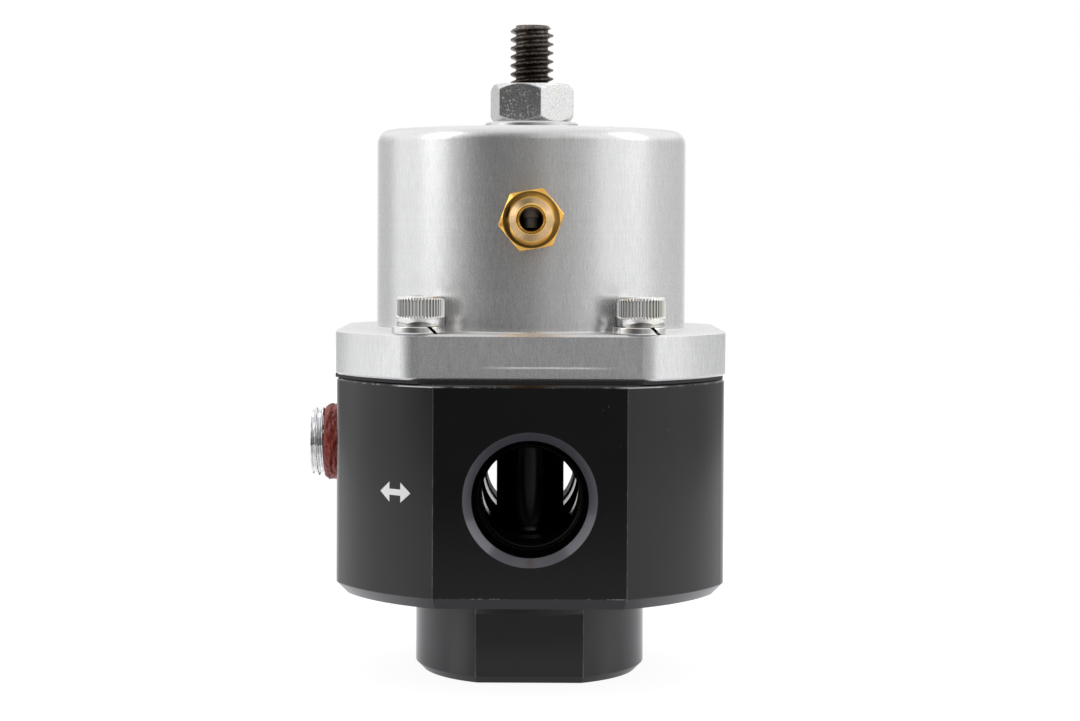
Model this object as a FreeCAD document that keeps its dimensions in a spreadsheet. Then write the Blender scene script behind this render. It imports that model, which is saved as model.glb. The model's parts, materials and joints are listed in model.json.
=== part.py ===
import FreeCAD, Part
import os
import re

import Sketcher

# Bypass fuel pressure regulator, modelled upright. The origin is the centre of the return port's mouth,
# on the bottom face. +Z is up along the turning axis, -Y is the front in/out port, -X the gauge port.
# All lengths are millimetres.

SIZES = {
    # Body: a turned block with flats at the front, the back and both sides
    "body_bottom": 12.4,
    "body_height": 30.8,
    "body_radius": 30.0,
    "body_flat_cut": 3.1,
    "body_side_cut": 2.3,
    "body_blend": 6.0,
    "body_bottom_chamfer": 1.6,
    "body_top_chamfer": 0.35,
    "chamber_radius": 9.5,
    "recess_radius": 16.5,
    "recess_depth": 4.2,
    # In/out port, the same at the front and the back
    "port_rise": 15.1,
    "port_mouth_radius": 9.25,
    "port_seat_radius": 8.05,
    "port_bevel_depth": 1.2,
    "port_thread_radius": 7.25,
    "port_seat_depth": 2.2,
    "port_thread_depth": 13.0,
    "port_bore_radius": 7.0,
    # Bracket holes in the right side
    "bracket_rise": 15.4,
    "bracket_spacing": 12.7,
    "bracket_hole_radius": 2.05,
    "bracket_hole_depth": 8.0,
    # Return port housing screwed in from below
    "boss_radius": 16.75,
    "boss_chamfer": 1.1,
    "wrench_flat_cut": 1.85,
    "boss_collar": 2.35,
    "spigot_radius": 10.95,
    "spigot_length": 7.2,
    "spigot_end_gap": 0.4,
    "column_radius": 4.95,
    "column_root_radius": 1.5,
    "return_spotface_depth": 0.8,
    "return_bore_radius": 2.6,
    "ring_section_radius": 1.1,
    "gland_side_gap": 0.05,
    # Valve
    "seat_drop": 6.7,
    "seat_flange_radius": 4.2,
    "seat_flange_thickness": 1.0,
    "seat_stem_radius": 3.3,
    "seat_stem_length": 3.4,
    "seat_orifice_radius": 2.0,
    "seat_lip_radius": 2.9,
    "seat_lip_height": 0.3,
    "ball_radius": 3.175,
    "ball_flat": 2.1,
    "hub_radius": 5.0,
    "hub_drop": 1.3,
    # Diaphragm and its plates
    "diaphragm_thickness": 0.5,
    "diaphragm_inset": 0.2,
    "lower_plate_radius": 13.0,
    "lower_plate_thickness": 1.3,
    "cup_spring_gap": 0.3,
    "cup_wall": 1.2,
    "cup_height": 3.8,
    "cup_bend": 1.56,
    "cup_inner_bend": 0.36,
    "stud_radius": 2.5,
    "stud_end": 0.7,
    "clamp_nut_across": 8.0,
    "clamp_nut_height": 4.0,
    "clamp_nut_bevel": 0.4,
    # Bonnet, one piece with its flange
    "flange_thickness": 6.3,
    "flange_overhang": 0.3,
    "flange_ledge": 2.65,
    "flange_side_cut": 2.5,
    "flange_blend": 4.5,
    "flange_edge": 0.3,
    "bonnet_height": 28.8,
    "bonnet_top_fillet": 1.9,
    "bonnet_base_fillet": 0.35,
    "bonnet_wall": 4.65,
    "bonnet_top_wall": 5.0,
    "chamber_corner": 2.5,
    # Adjuster
    "screw_radius": 3.175,
    "screw_length": 25.4,
    "screw_proud": 8.64,
    "screw_chamfer": 0.75,
    "screw_socket_across": 3.18,
    "screw_socket_depth": 3.2,
    "thread_gap": 0.05,
    "washer_radius": 6.85,
    "washer_thickness": 1.3,
    "washer_edge": 0.26,
    "nut_across": 11.11,
    "nut_height": 5.56,
    "nut_angle": 11.75,
    "nut_bevel": 0.85,
    "nut_face_inset": 0.1,
    "nut_countersink": 0.5,
    # Spring and the button on top of it
    "button_margin": 0.5,
    "button_flange": 2.0,
    "button_pilot": 2.0,
    "button_pilot_gap": 0.4,
    "button_hub_radius": 5.0,
    "button_hub_height": 1.5,
    "button_pocket_depth": 0.7,
    "button_pocket_gap": 0.2,
    "button_edge": 0.5,
    "spring_wire_radius": 1.2,
    "spring_mean_radius": 11.3,
    "spring_turns": 5.5,
    # Cap screws and split washers
    "cap_edge": 3.395,
    "cap_angle": 55.03,
    "cap_head_radius": 3.43,
    "cap_head_height": 4.17,
    "cap_head_edge": 0.45,
    "cap_foot_height": 1.04,
    "cap_foot_step": 0.15,
    "cap_shank_radius": 2.08,
    "cap_length": 15.875,
    "cap_socket_across": 3.57,
    "cap_socket_depth": 2.2,
    "cap_hole_gap": 0.17,
    "tapped_end": 1.2,
    "lock_washer_radius": 3.72,
    "lock_washer_play": 0.07,
    "lock_washer_clearance": 0.235,
    "lock_washer_edge": 0.2,
    "lock_washer_thickness": 1.02,
    "lock_washer_gap": 0.55,
    "lock_washer_shift": 0.3,
    # Vacuum barb
    "barb_rise": 15.7,
    "barb_hex_across": 7.94,
    "barb_hex_thickness": 4.8,
    "barb_hex_bevel": 0.5,
    "barb_face_inset": 0.1,
    "barb_hex_turn": 9.4,
    "barb_thread_radius": 2.35,
    "barb_thread_end_gap": 0.4,
    "barb_neck_radius": 2.05,
    "barb_neck_length": 1.8,
    "barb_ridge_radius": 2.92,
    "barb_ridge_length": 3.6,
    "barb_ridge_step": 0.3,
    "barb_tip_radius": 2.1,
    "barb_bore_radius": 1.57,
    "barb_bore_edge": 0.2,
    # Gauge port, its plug and the sealant
    "gauge_rise": 20.6,
    "gauge_drill_radius": 4.2,
    "gauge_mouth_step": 0.7,
    "gauge_mouth_depth": 0.6,
    "gauge_hole_end_gap": 0.6,
    "plug_proud": 4.4,
    "plug_length": 9.0,
    "plug_radius": 5.2,
    "plug_taper": 0.03125,
    "plug_edge": 0.45,
    "plug_socket_across": 4.76,
    "plug_socket_depth": 4.2,
    "sealant_thickness": 0.6,
    "sealant_foot_step": 0.15,
    "sealant_edge_step": 0.2,
    "sealant_proud": 2.6,
}

# Radii, places and heights that follow from the sizes above
FOLLOWING = {
    "body_top": "body_bottom + body_height",
    "body_flat": "body_radius - body_flat_cut",
    "body_side": "body_radius - body_side_cut",
    "port_height": "body_bottom + port_rise",
    "bracket_height": "body_bottom + bracket_rise",
    "gauge_height": "body_bottom + gauge_rise",
    "wrench_flat": "boss_radius - wrench_flat_cut",
    "wrench_flat_height": "body_bottom - boss_collar",
    "spigot_top": "body_bottom + spigot_length",
    "gland_height": "2 * ring_section_radius",
    "gland_outer_radius": "spigot_radius + ring_section_radius + gland_side_gap",
    "gland_inner_radius": "spigot_radius - ring_section_radius - gland_side_gap",
    "gland_top": "body_bottom + gland_height",
    "seat_height": "body_top - seat_drop",
    "column_top": "seat_height - seat_flange_thickness",
    "ball_centre": "seat_height + ball_flat",
    "spring_outer_radius": "spring_mean_radius + spring_wire_radius",
    "cup_radius": "spring_outer_radius + cup_spring_gap + cup_wall",
    "cup_floor_top": "body_top + diaphragm_thickness + cup_wall",
    "button_radius": "spring_outer_radius + button_margin",
    "cap_circle": "body_radius - cap_edge",
    "cap_across": "cap_circle * cos(cap_angle * 1 deg)",
    "cap_along": "cap_circle * sin(cap_angle * 1 deg)",
    "cap_hole_radius": "cap_shank_radius + cap_hole_gap",
    "lock_washer_bore": "cap_shank_radius + lock_washer_shift + lock_washer_play",
    "bonnet_radius": "cap_circle - lock_washer_radius - lock_washer_clearance",
    "spring_chamber_radius": "bonnet_radius - bonnet_wall",
    "bonnet_bottom": "body_top + diaphragm_thickness",
    "flange_top": "bonnet_bottom + flange_thickness",
    "flange_radius": "body_radius + flange_overhang",
    "flange_flat": "bonnet_radius + flange_ledge",
    "flange_side": "flange_radius - flange_side_cut",
    "bonnet_top": "flange_top + bonnet_height",
    "chamber_ceiling": "bonnet_top - bonnet_top_wall",
    "washer_top": "bonnet_top + washer_thickness",
    "screw_top": "washer_top + nut_height + screw_proud",
    "screw_tip": "screw_top - screw_length",
    "button_seat": "screw_tip - button_hub_height + button_pocket_depth - button_flange",
    "barb_height": "flange_top + barb_rise",
    "gauge_mouth_radius": "plug_radius + gauge_mouth_step",
    "plug_face": "body_side + plug_proud",
    "sealant_radius": "plug_radius + sealant_thickness",
}
CUT_MARGIN = "2"

doc = FreeCAD.newDocument("fuel_pressure_regulator")
sheet = doc.addObject("Spreadsheet::Sheet", "sizes")
nodes = []


def fill_sheet():
    """Write every driving size into the sheet, one row each, with its name as alias."""
    for row, (alias, size) in enumerate(SIZES.items(), start=1):
        sheet.set(f"A{row}", alias)
        sheet.set(f"B{row}", str(size))
        sheet.setAlias(f"B{row}", alias)
    doc.recompute()


def linked(formula):
    """Write a formula out in full, down to references to the sheet."""
    def reference(match):
        name = match[0]
        if name in FOLLOWING:
            return f"({linked(FOLLOWING[name])})"
        return f"sizes.{name}" if name in SIZES else name

    return re.sub(r"[a-z][a-z_]+", reference, str(formula))


def value(formula):
    """The present value of a formula."""
    return float(sheet.evalExpression(linked(formula)))


def bind(thing, prop, formula):
    thing.setExpression(prop, linked(formula))


def new_body(label, height="0", rotation=None, node=True):
    """A body whose own frame stands at the given height on the axis."""
    body = doc.addObject("PartDesign::Body", label)
    body.Label = label
    if rotation:
        body.Placement = FreeCAD.Placement(FreeCAD.Vector(), rotation)
    bind(body, ".Placement.Base.z", height)
    if node:
        nodes.append(body)
    return body


def new_sketch(body, name, plane, lift=None, shift=None):
    """A sketch on one of the body's origin planes, lifted off it or shifted within it."""
    sketch = body.newObject("Sketcher::SketchObject", f"{body.Label}_{name}")
    support = next(item for item in body.Origin.OriginFeatures if item.Role == plane)
    sketch.AttachmentSupport = [(support, "")]
    sketch.MapMode = "FlatFace"
    if lift:
        bind(sketch, ".AttachmentOffset.Base.z", lift)
    if shift:
        bind(sketch, ".AttachmentOffset.Base.y", shift)
    return sketch


def draw_polygon(sketch, points):
    """A closed outline through points given as formulas, each bound to the sheet."""
    places = [FreeCAD.Vector(value(across), value(along), 0) for across, along in points]
    first = sketch.GeometryCount
    count = len(points)
    for index, place in enumerate(places):
        sketch.addGeometry(Part.LineSegment(place, places[(index + 1) % count]), False)
    for index in range(count):
        following = first + (index + 1) % count
        sketch.addConstraint(Sketcher.Constraint("Coincident", first + index, 2, following, 1))
    for index, point in enumerate(points):
        for kind, formula in zip(("DistanceX", "DistanceY"), point):
            rule = Sketcher.Constraint(kind, -1, 1, first + index, 1, value(formula))
            number = sketch.addConstraint(rule)
            bind(sketch, f"Constraints[{number}]", formula)


def draw_circle(sketch, centre, radius):
    """A circle whose centre and radius are bound to the sheet."""
    middle = FreeCAD.Vector(value(centre[0]), value(centre[1]), 0)
    circle = sketch.addGeometry(Part.Circle(middle, FreeCAD.Vector(0, 0, 1), value(radius)), False)
    for kind, formula in zip(("DistanceX", "DistanceY"), centre):
        number = sketch.addConstraint(Sketcher.Constraint(kind, -1, 1, circle, 3, value(formula)))
        bind(sketch, f"Constraints[{number}]", formula)
    number = sketch.addConstraint(Sketcher.Constraint("Radius", circle, value(radius)))
    bind(sketch, f"Constraints[{number}]", radius)


def draw_hexagon(sketch, across, turn=None):
    """A hexagon about the sketch's origin with a corner on its horizontal axis."""
    corner = f"{across} / sqrt(3)"
    half = f"{across} / 2"
    draw_polygon(sketch, [
        (corner, "0"),
        (f"{corner} / 2", half),
        (f"-{corner} / 2", half),
        (f"-{corner}", "0"),
        (f"-{corner} / 2", f"-{half}"),
        (f"{corner} / 2", f"-{half}"),
    ])
    if turn:
        bind(sketch, ".AttachmentOffset.Rotation.Angle", f"({turn}) * 1 deg")


def draw_block(sketch, radius, flat, side):
    """A disc cut by flats at the front and back and at both sides."""
    full, front, flank = value(radius), value(flat), value(side)
    half_front = (full ** 2 - front ** 2) ** 0.5
    half_flank = (full ** 2 - flank ** 2) ** 0.5
    corners = [
        (flank, -half_flank), (flank, half_flank),
        (half_front, front), (-half_front, front),
        (-flank, half_flank), (-flank, -half_flank),
        (-half_front, -front), (half_front, -front),
    ]
    points = [FreeCAD.Vector(x, y, 0) for x, y in corners]
    for index in range(4):
        start, end, onward = points[2 * index], points[2 * index + 1], points[(2 * index + 2) % 8]
        sketch.addGeometry(Part.LineSegment(start, end), False)
        middle = (end + onward).normalize() * full
        sketch.addGeometry(Part.Arc(end, middle, onward), False)
    for index in range(4):
        line, arc, following = 2 * index, 2 * index + 1, (2 * index + 2) % 8
        upright = index % 2 == 0
        sketch.addConstraint(Sketcher.Constraint("Vertical" if upright else "Horizontal", line))
        sketch.addConstraint(Sketcher.Constraint("Coincident", line, 2, arc, 1))
        sketch.addConstraint(Sketcher.Constraint("Coincident", arc, 2, following, 1))
        sketch.addConstraint(Sketcher.Constraint("Coincident", arc, 3, -1, 1))
        number = sketch.addConstraint(Sketcher.Constraint("Radius", arc, full))
        bind(sketch, f"Constraints[{number}]", radius)
        kind, reach, formula = ("DistanceX", flank, side) if upright else ("DistanceY", front, flat)
        sign = 1 if index < 2 else -1
        number = sketch.addConstraint(Sketcher.Constraint(kind, -1, 1, line, 1, sign * reach))
        bind(sketch, f"Constraints[{number}]", f"{sign} * {formula}")


def pad(body, sketch, length):
    feature = body.newObject("PartDesign::Pad", f"{sketch.Name}_pad")
    feature.Profile = sketch
    bind(feature, "Length", length)
    doc.recompute()
    return feature


def pocket(body, sketch, depth=None, upward=False):
    """Cut a sketch into the body, through all of it where no depth is given."""
    feature = body.newObject("PartDesign::Pocket", f"{sketch.Name}_cut")
    feature.Profile = sketch
    feature.Reversed = upward
    if depth:
        bind(feature, "Length", depth)
    else:
        feature.Type = "ThroughAll"
        feature.Midplane = True
    return check_cut(body, feature)


def check_cut(body, feature):
    """Recompute a cut and stop if it took nothing away."""
    before = feature.BaseFeature.Shape.Volume
    doc.recompute()
    if not feature.Shape.Volume < before:
        raise ValueError(f"{feature.Name} in {body.Label} cut nothing")
    return feature


def turn(body, name, points):
    """Revolve an outline of radius and height about the body's own upright axis."""
    sketch = new_sketch(body, name, "XZ_Plane")
    draw_polygon(sketch, points)
    return revolve(body, sketch)


def revolve(body, sketch):
    feature = body.newObject("PartDesign::Revolution", f"{sketch.Name}_turn")
    feature.Profile = sketch
    feature.ReferenceAxis = (sketch, ["V_Axis"])
    feature.Angle = 360
    doc.recompute()
    return feature


def groove(body, name, points, plane="XZ_Plane", axis="V_Axis", shift=None):
    """Cut a revolved outline, about the sketch's upright or level axis."""
    sketch = new_sketch(body, name, plane, shift=shift)
    draw_polygon(sketch, points)
    feature = body.newObject("PartDesign::Groove", f"{sketch.Name}_bore")
    feature.Profile = sketch
    feature.ReferenceAxis = (sketch, [axis])
    feature.Angle = 360
    return check_cut(body, feature)


def dress(body, kind, base, edges, size):
    """Fillet or chamfer the edges of a feature that pass a test."""
    names = [f"Edge{number}" for number, edge in enumerate(base.Shape.Edges, start=1) if edges(edge)]
    feature = body.newObject(f"PartDesign::{kind}", f"{base.Name}_{kind.lower()}")
    feature.Base = (base, names)
    bind(feature, "Radius" if kind == "Fillet" else "Size", size)
    doc.recompute()
    return feature


def near(one, other):
    return abs(one - other) < 0.001


def is_ring(edge, radius, height):
    """Whether an edge is a full circle about the axis with this radius and height."""
    curve = edge.Curve
    if not isinstance(curve, Part.Circle) or not edge.isClosed():
        return False
    centred = near(curve.Center.x, 0) and near(curve.Center.y, 0)
    return centred and near(curve.Radius, value(radius)) and near(curve.Center.z, value(height))


def rings(*places):
    """A test that finds rings by their radius and height."""
    return lambda edge: any(is_ring(edge, radius, height) for radius, height in places)


def is_upright(edge):
    return near(edge.BoundBox.XLength, 0) and near(edge.BoundBox.YLength, 0)


def lies_at(edge, height):
    return near(edge.BoundBox.ZMin, value(height)) and near(edge.BoundBox.ZMax, value(height))


def bevel_corners(body, name, corner, flat, height, drop):
    """Cut the cone that takes the sharp corners off a hexagon's end. drop is its height at the corner."""
    outside = f"{corner} + {CUT_MARGIN}"
    slope = f"{drop} / ({corner} - ({flat}))"
    groove(body, name, [
        (flat, height),
        (outside, height),
        (outside, f"{height} - {slope} * ({outside} - ({flat}))"),
    ])


def hex_socket(body, name, across, depth, top):
    """A hexagon socket sunk from the top of a screw or plug."""
    sketch = new_sketch(body, name, "XY_Plane", lift=top)
    draw_hexagon(sketch, across)
    return pocket(body, sketch, depth)


def add_copies(label, source, places):
    """One node of separate solids, a copy of the source at each place."""
    copies = []
    for number, place in enumerate(places, start=1):
        copy = doc.addObject("App::Link", f"{source.Label}_{number}")
        copy.LinkedObject = source
        copy.LinkTransform = False
        for axis, formula in zip("xyz", place):
            bind(copy, f".Placement.Base.{axis}", formula)
        copies.append(copy)
    group = doc.addObject("Part::Compound", label)
    group.Label = label
    group.Links = copies
    nodes.append(group)
    return group


def screw_places(height, shift="0"):
    """The four corners of the cap screw pattern at one height."""
    return [
        (f"{side} * cap_across - {shift}", f"{face} * cap_along", height)
        for side in (-1, 1)
        for face in (-1, 1)
    ]


def screw_holes(body, name, radius, height, depth=None):
    """The four holes of the cap screw pattern, cut down from a height."""
    sketch = new_sketch(body, name, "XY_Plane", lift=height)
    for across, along, _ in screw_places(height):
        draw_circle(sketch, (across, along), radius)
    return pocket(body, sketch, depth)


def make_body():
    """The fuel block: chamber in the middle, in/out port from front to back, gauge port at the left."""
    body = new_body("body")
    outline = new_sketch(body, "outline", "XY_Plane", lift="body_bottom")
    draw_block(outline, "body_radius", "body_flat", "body_side")
    block = pad(body, outline, "body_top - body_bottom")
    flank = value("body_side")
    block = dress(body, "Fillet", block,
                  lambda edge: is_upright(edge) and near(abs(edge.CenterOfMass.x), flank), "body_blend")
    block = dress(body, "Chamfer", block, lambda edge: lies_at(edge, "body_bottom"), "body_bottom_chamfer")
    dress(body, "Chamfer", block, lambda edge: lies_at(edge, "body_top"), "body_top_chamfer")
    bore_top = "spigot_top + spigot_end_gap"
    recess_floor = "body_top - recess_depth"
    hole_radius = "spigot_radius + thread_gap"
    groove(body, "chamber", [
        ("0", f"body_bottom - {CUT_MARGIN}"),
        ("gland_outer_radius", f"body_bottom - {CUT_MARGIN}"),
        ("gland_outer_radius", "gland_top"),
        (hole_radius, "gland_top"),
        (hole_radius, bore_top),
        ("chamber_radius", bore_top),
        ("chamber_radius", recess_floor),
        ("recess_radius", recess_floor),
        ("recess_radius", f"body_top + {CUT_MARGIN}"),
        ("0", f"body_top + {CUT_MARGIN}"),
    ])
    cut_through_port(body)
    cut_gauge_port(body)
    cut_bracket_holes(body)
    tapped_depth = "cap_length - (flange_top + lock_washer_thickness - body_top) + tapped_end"
    screw_holes(body, "tapped", "cap_shank_radius + thread_gap", "body_top", tapped_depth)
    return body


def cut_through_port(body):
    """The in/out port: one bore from front to back with a bevelled mouth and thread at each end."""
    steps = [
        (f"body_flat + {CUT_MARGIN}", "port_mouth_radius"),
        ("body_flat", "port_mouth_radius"),
        ("body_flat - port_bevel_depth", "port_seat_radius"),
        ("body_flat - port_bevel_depth - port_seat_depth", "port_thread_radius"),
        ("body_flat - port_thread_depth", "port_thread_radius"),
        ("body_flat - port_thread_depth", "port_bore_radius"),
    ]
    front = [(f"-({along})", radius) for along, radius in steps]
    back = list(reversed(steps))
    ends = [(steps[0][0], "0"), (f"-({steps[0][0]})", "0")]
    groove(body, "port", front + back + ends, plane="YZ_Plane", axis="H_Axis", shift="port_height")


def plug_radius_at(along):
    """Radius of the tapered pipe thread at a distance from the axis of the body."""
    return f"(plug_radius - plug_taper * (plug_face - ({along})))"


def cut_gauge_port(body):
    """The tapered gauge port, drilled from the left side into the chamber."""
    thread_end = "plug_face - plug_length - gauge_hole_end_gap"
    mouth_end = "body_side - gauge_mouth_depth"
    groove(body, "gauge", [
        (f"-(body_side + {CUT_MARGIN})", "0"),
        (f"-(body_side + {CUT_MARGIN})", "gauge_mouth_radius"),
        ("-body_side", "gauge_mouth_radius"),
        (f"-({mouth_end})", f"{plug_radius_at(mouth_end)} + thread_gap"),
        (f"-({thread_end})", f"{plug_radius_at(thread_end)} + thread_gap"),
        (f"-({thread_end})", "gauge_drill_radius"),
        ("-(chamber_radius / 2 + column_radius / 2)", "gauge_drill_radius"),
        ("-(chamber_radius / 2 + column_radius / 2)", "0"),
    ], axis="H_Axis", shift="gauge_height")


def cut_bracket_holes(body):
    """Two blind tapped holes in the right side for a mounting bracket."""
    sketch = new_sketch(body, "bracket", "YZ_Plane", lift="body_side")
    for side in (-1, 1):
        draw_circle(sketch, (f"{side} * bracket_spacing / 2", "bracket_height"), "bracket_hole_radius")
    pocket(body, sketch, "bracket_hole_depth")


def make_return_port_housing():
    """The turned fitting below the body. Its column carries the valve seat up through the chamber."""
    body = new_body("return_port_housing")
    turned = turn(body, "outside", [
        ("0", "0"),
        ("boss_radius", "0"),
        ("boss_radius", "body_bottom"),
        ("gland_inner_radius", "body_bottom"),
        ("gland_inner_radius", "gland_top"),
        ("spigot_radius", "gland_top"),
        ("spigot_radius", "spigot_top"),
        ("column_radius", "spigot_top"),
        ("column_radius", "column_top"),
        ("0", "column_top"),
    ])
    turned = dress(body, "Fillet", turned, rings(("column_radius", "spigot_top")), "column_root_radius")
    flats = new_sketch(body, "flats", "XY_Plane")
    for side in (-1, 1):
        far = f"{side} * (boss_radius + {CUT_MARGIN})"
        draw_polygon(flats, [
            (f"-(boss_radius + {CUT_MARGIN})", f"{side} * wrench_flat"),
            (f"boss_radius + {CUT_MARGIN}", f"{side} * wrench_flat"),
            (f"boss_radius + {CUT_MARGIN}", far),
            (f"-(boss_radius + {CUT_MARGIN})", far),
        ])
    flatted = pocket(body, flats, "wrench_flat_height", upward=True)
    dress(body, "Chamfer", flatted, lambda edge: lies_at(edge, "0"), "boss_chamfer")
    seat_start = "return_spotface_depth + port_bevel_depth"
    thread_top = "return_spotface_depth + port_thread_depth"
    counterbore = "column_top - seat_stem_length"
    groove(body, "return_port", [
        ("0", f"-{CUT_MARGIN}"),
        ("port_mouth_radius", f"-{CUT_MARGIN}"),
        ("port_mouth_radius", "return_spotface_depth"),
        ("port_seat_radius", seat_start),
        ("port_thread_radius", f"{seat_start} + port_seat_depth"),
        ("port_thread_radius", thread_top),
        ("return_bore_radius", f"{thread_top} + (port_thread_radius - return_bore_radius) / 2"),
        ("return_bore_radius", counterbore),
        ("seat_stem_radius", counterbore),
        ("seat_stem_radius", f"column_top + {CUT_MARGIN}"),
        ("0", f"column_top + {CUT_MARGIN}"),
    ])
    return body


def make_housing_o_ring():
    """The O-ring squeezed between the body's counterbore and the housing's undercut."""
    body = new_body("housing_o_ring", "body_bottom + gland_height / 2")
    section = new_sketch(body, "section", "XZ_Plane")
    draw_circle(section, ("(gland_inner_radius + gland_outer_radius) / 2", "0"), "ring_section_radius")
    revolve(body, section)
    return body


def make_valve_seat():
    """The seat insert with a raised lip, pressed into the top of the column."""
    body = new_body("valve_seat", "seat_height")
    flange_floor = "-seat_flange_thickness"
    stem_end = "-(seat_flange_thickness + seat_stem_length)"
    turn(body, "outline", [
        ("seat_orifice_radius", stem_end),
        ("seat_stem_radius", stem_end),
        ("seat_stem_radius", flange_floor),
        ("seat_flange_radius", flange_floor),
        ("seat_flange_radius", "-seat_lip_height"),
        ("seat_lip_radius", "-seat_lip_height"),
        ("seat_lip_radius", "0"),
        ("seat_orifice_radius", "0"),
    ])
    return body


def make_valve_ball():
    """The ball with a flat ground on it, which lies on the seat and levels itself."""
    ball = doc.addObject("Part::Sphere", "ball")
    bind(ball, "Radius", "ball_radius")
    under = doc.addObject("Part::Box", "below_flat")
    bind(under, "Length", "ball_radius * 2")
    bind(under, "Width", "ball_radius * 2")
    bind(under, "Height", "ball_radius")
    bind(under, ".Placement.Base.x", "-ball_radius")
    bind(under, ".Placement.Base.y", "-ball_radius")
    bind(under, ".Placement.Base.z", "-ball_flat - ball_radius")
    flatted = doc.addObject("Part::Cut", "valve_ball")
    flatted.Label = "valve_ball"
    flatted.Base = ball
    flatted.Tool = under
    bind(flatted, ".Placement.Base.z", "ball_centre")
    doc.recompute()
    nodes.append(flatted)
    return flatted


def make_lower_diaphragm_plate():
    """The plate under the diaphragm: a hub with the ball's socket and a stud through the diaphragm."""
    body = new_body("lower_diaphragm_plate", "body_top")
    hub_end = "ball_centre - hub_drop - body_top"
    stud_top = "diaphragm_thickness + cup_wall + clamp_nut_height + stud_end"
    turned = turn(body, "outline", [
        ("0", hub_end),
        ("hub_radius", hub_end),
        ("hub_radius", "-lower_plate_thickness"),
        ("lower_plate_radius", "-lower_plate_thickness"),
        ("lower_plate_radius", "0"),
        ("stud_radius", "0"),
        ("stud_radius", stud_top),
        ("0", stud_top),
    ])
    turned = dress(body, "Fillet", turned, rings(("lower_plate_radius", "-lower_plate_thickness")),
                   "lower_plate_thickness / 2")
    dress(body, "Fillet", turned, rings(("hub_radius", "-lower_plate_thickness")), "lower_plate_thickness")
    socket = new_sketch(body, "socket", "XZ_Plane")
    draw_socket(socket, "ball_centre - body_top", "ball_radius")
    feature = body.newObject("PartDesign::Groove", "socket_bore")
    feature.Profile = socket
    feature.ReferenceAxis = (socket, ["V_Axis"])
    feature.Angle = 360
    check_cut(body, feature)
    return body


def draw_socket(sketch, height, radius):
    """A half disc on the sketch's upright axis, the section of a spherical socket."""
    middle, reach = value(height), value(radius)
    top = FreeCAD.Vector(0, middle + reach, 0)
    bottom = FreeCAD.Vector(0, middle - reach, 0)
    arc = sketch.addGeometry(Part.Arc(bottom, FreeCAD.Vector(reach, middle, 0), top), False)
    line = sketch.addGeometry(Part.LineSegment(top, bottom), False)
    sketch.addConstraint(Sketcher.Constraint("Coincident", arc, 2, line, 1))
    sketch.addConstraint(Sketcher.Constraint("Coincident", line, 2, arc, 1))
    sketch.addConstraint(Sketcher.Constraint("PointOnObject", arc, 3, -2))
    sketch.addConstraint(Sketcher.Constraint("PointOnObject", arc, 1, -2))
    sketch.addConstraint(Sketcher.Constraint("PointOnObject", arc, 2, -2))
    number = sketch.addConstraint(Sketcher.Constraint("Radius", arc, reach))
    bind(sketch, f"Constraints[{number}]", radius)
    number = sketch.addConstraint(Sketcher.Constraint("DistanceY", -1, 1, arc, 3, middle))
    bind(sketch, f"Constraints[{number}]", height)


def make_diaphragm():
    """The fabric reinforced sheet clamped between the body and the flange."""
    body = new_body("diaphragm", "body_top")
    outline = new_sketch(body, "outline", "XY_Plane")
    draw_block(outline, "body_radius - diaphragm_inset", "flange_flat - diaphragm_inset",
               "body_side - diaphragm_inset")
    sheet_pad = pad(body, outline, "diaphragm_thickness")
    flank = value("body_side - diaphragm_inset")
    dress(body, "Fillet", sheet_pad,
          lambda edge: is_upright(edge) and near(abs(edge.CenterOfMass.x), flank), "body_blend")
    stud_hole = new_sketch(body, "stud_hole", "XY_Plane")
    draw_circle(stud_hole, ("0", "0"), "stud_radius")
    pocket(body, stud_hole)
    screw_holes(body, "holes", "cap_hole_radius", "0")
    return body


def make_upper_diaphragm_plate():
    """The pressed cup above the diaphragm, which keeps the spring central."""
    body = new_body("upper_diaphragm_plate", "body_top + diaphragm_thickness")
    pressed = turn(body, "outline", [
        ("stud_radius", "0"),
        ("cup_radius", "0"),
        ("cup_radius", "cup_height"),
        ("cup_radius - cup_wall", "cup_height"),
        ("cup_radius - cup_wall", "cup_wall"),
        ("stud_radius", "cup_wall"),
    ])
    pressed = dress(body, "Fillet", pressed, rings(("cup_radius", "0")), "cup_bend")
    dress(body, "Fillet", pressed, rings(("cup_radius - cup_wall", "cup_wall")), "cup_inner_bend")
    return body


def make_diaphragm_nut():
    """The nut on the stud, which clamps both plates on the diaphragm."""
    body = new_body("diaphragm_nut", "cup_floor_top")
    outline = new_sketch(body, "outline", "XY_Plane")
    draw_hexagon(outline, "clamp_nut_across")
    draw_circle(outline, ("0", "0"), "stud_radius")
    pad(body, outline, "clamp_nut_height")
    bevel_corners(body, "top_bevel", "clamp_nut_across / sqrt(3)", "clamp_nut_across / 2",
                  "clamp_nut_height", "clamp_nut_bevel")
    return body


def make_main_spring():
    """The coil spring, with its ends ground flat where they seat."""
    body = new_body("main_spring", "cup_floor_top")
    length = "(button_seat - cup_floor_top)"
    wire = new_sketch(body, "wire", "XZ_Plane")
    draw_circle(wire, ("spring_mean_radius", "0"), "spring_wire_radius")
    coil = body.newObject("PartDesign::AdditiveHelix", "spring_coil")
    coil.Profile = wire
    coil.ReferenceAxis = (wire, ["V_Axis"])
    coil.Mode = "pitch-turns-angle"
    bind(coil, "Pitch", f"{length} / spring_turns")
    bind(coil, "Turns", "spring_turns")
    doc.recompute()
    outer = "spring_outer_radius + spring_wire_radius"
    for name, near_end, far_end in (
        ("ground_bottom", "0", "-spring_wire_radius * 2"),
        ("ground_top", length, f"{length} + spring_wire_radius * 2"),
    ):
        groove(body, name, [("0", near_end), (outer, near_end), (outer, far_end), ("0", far_end)])
    return body


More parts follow.
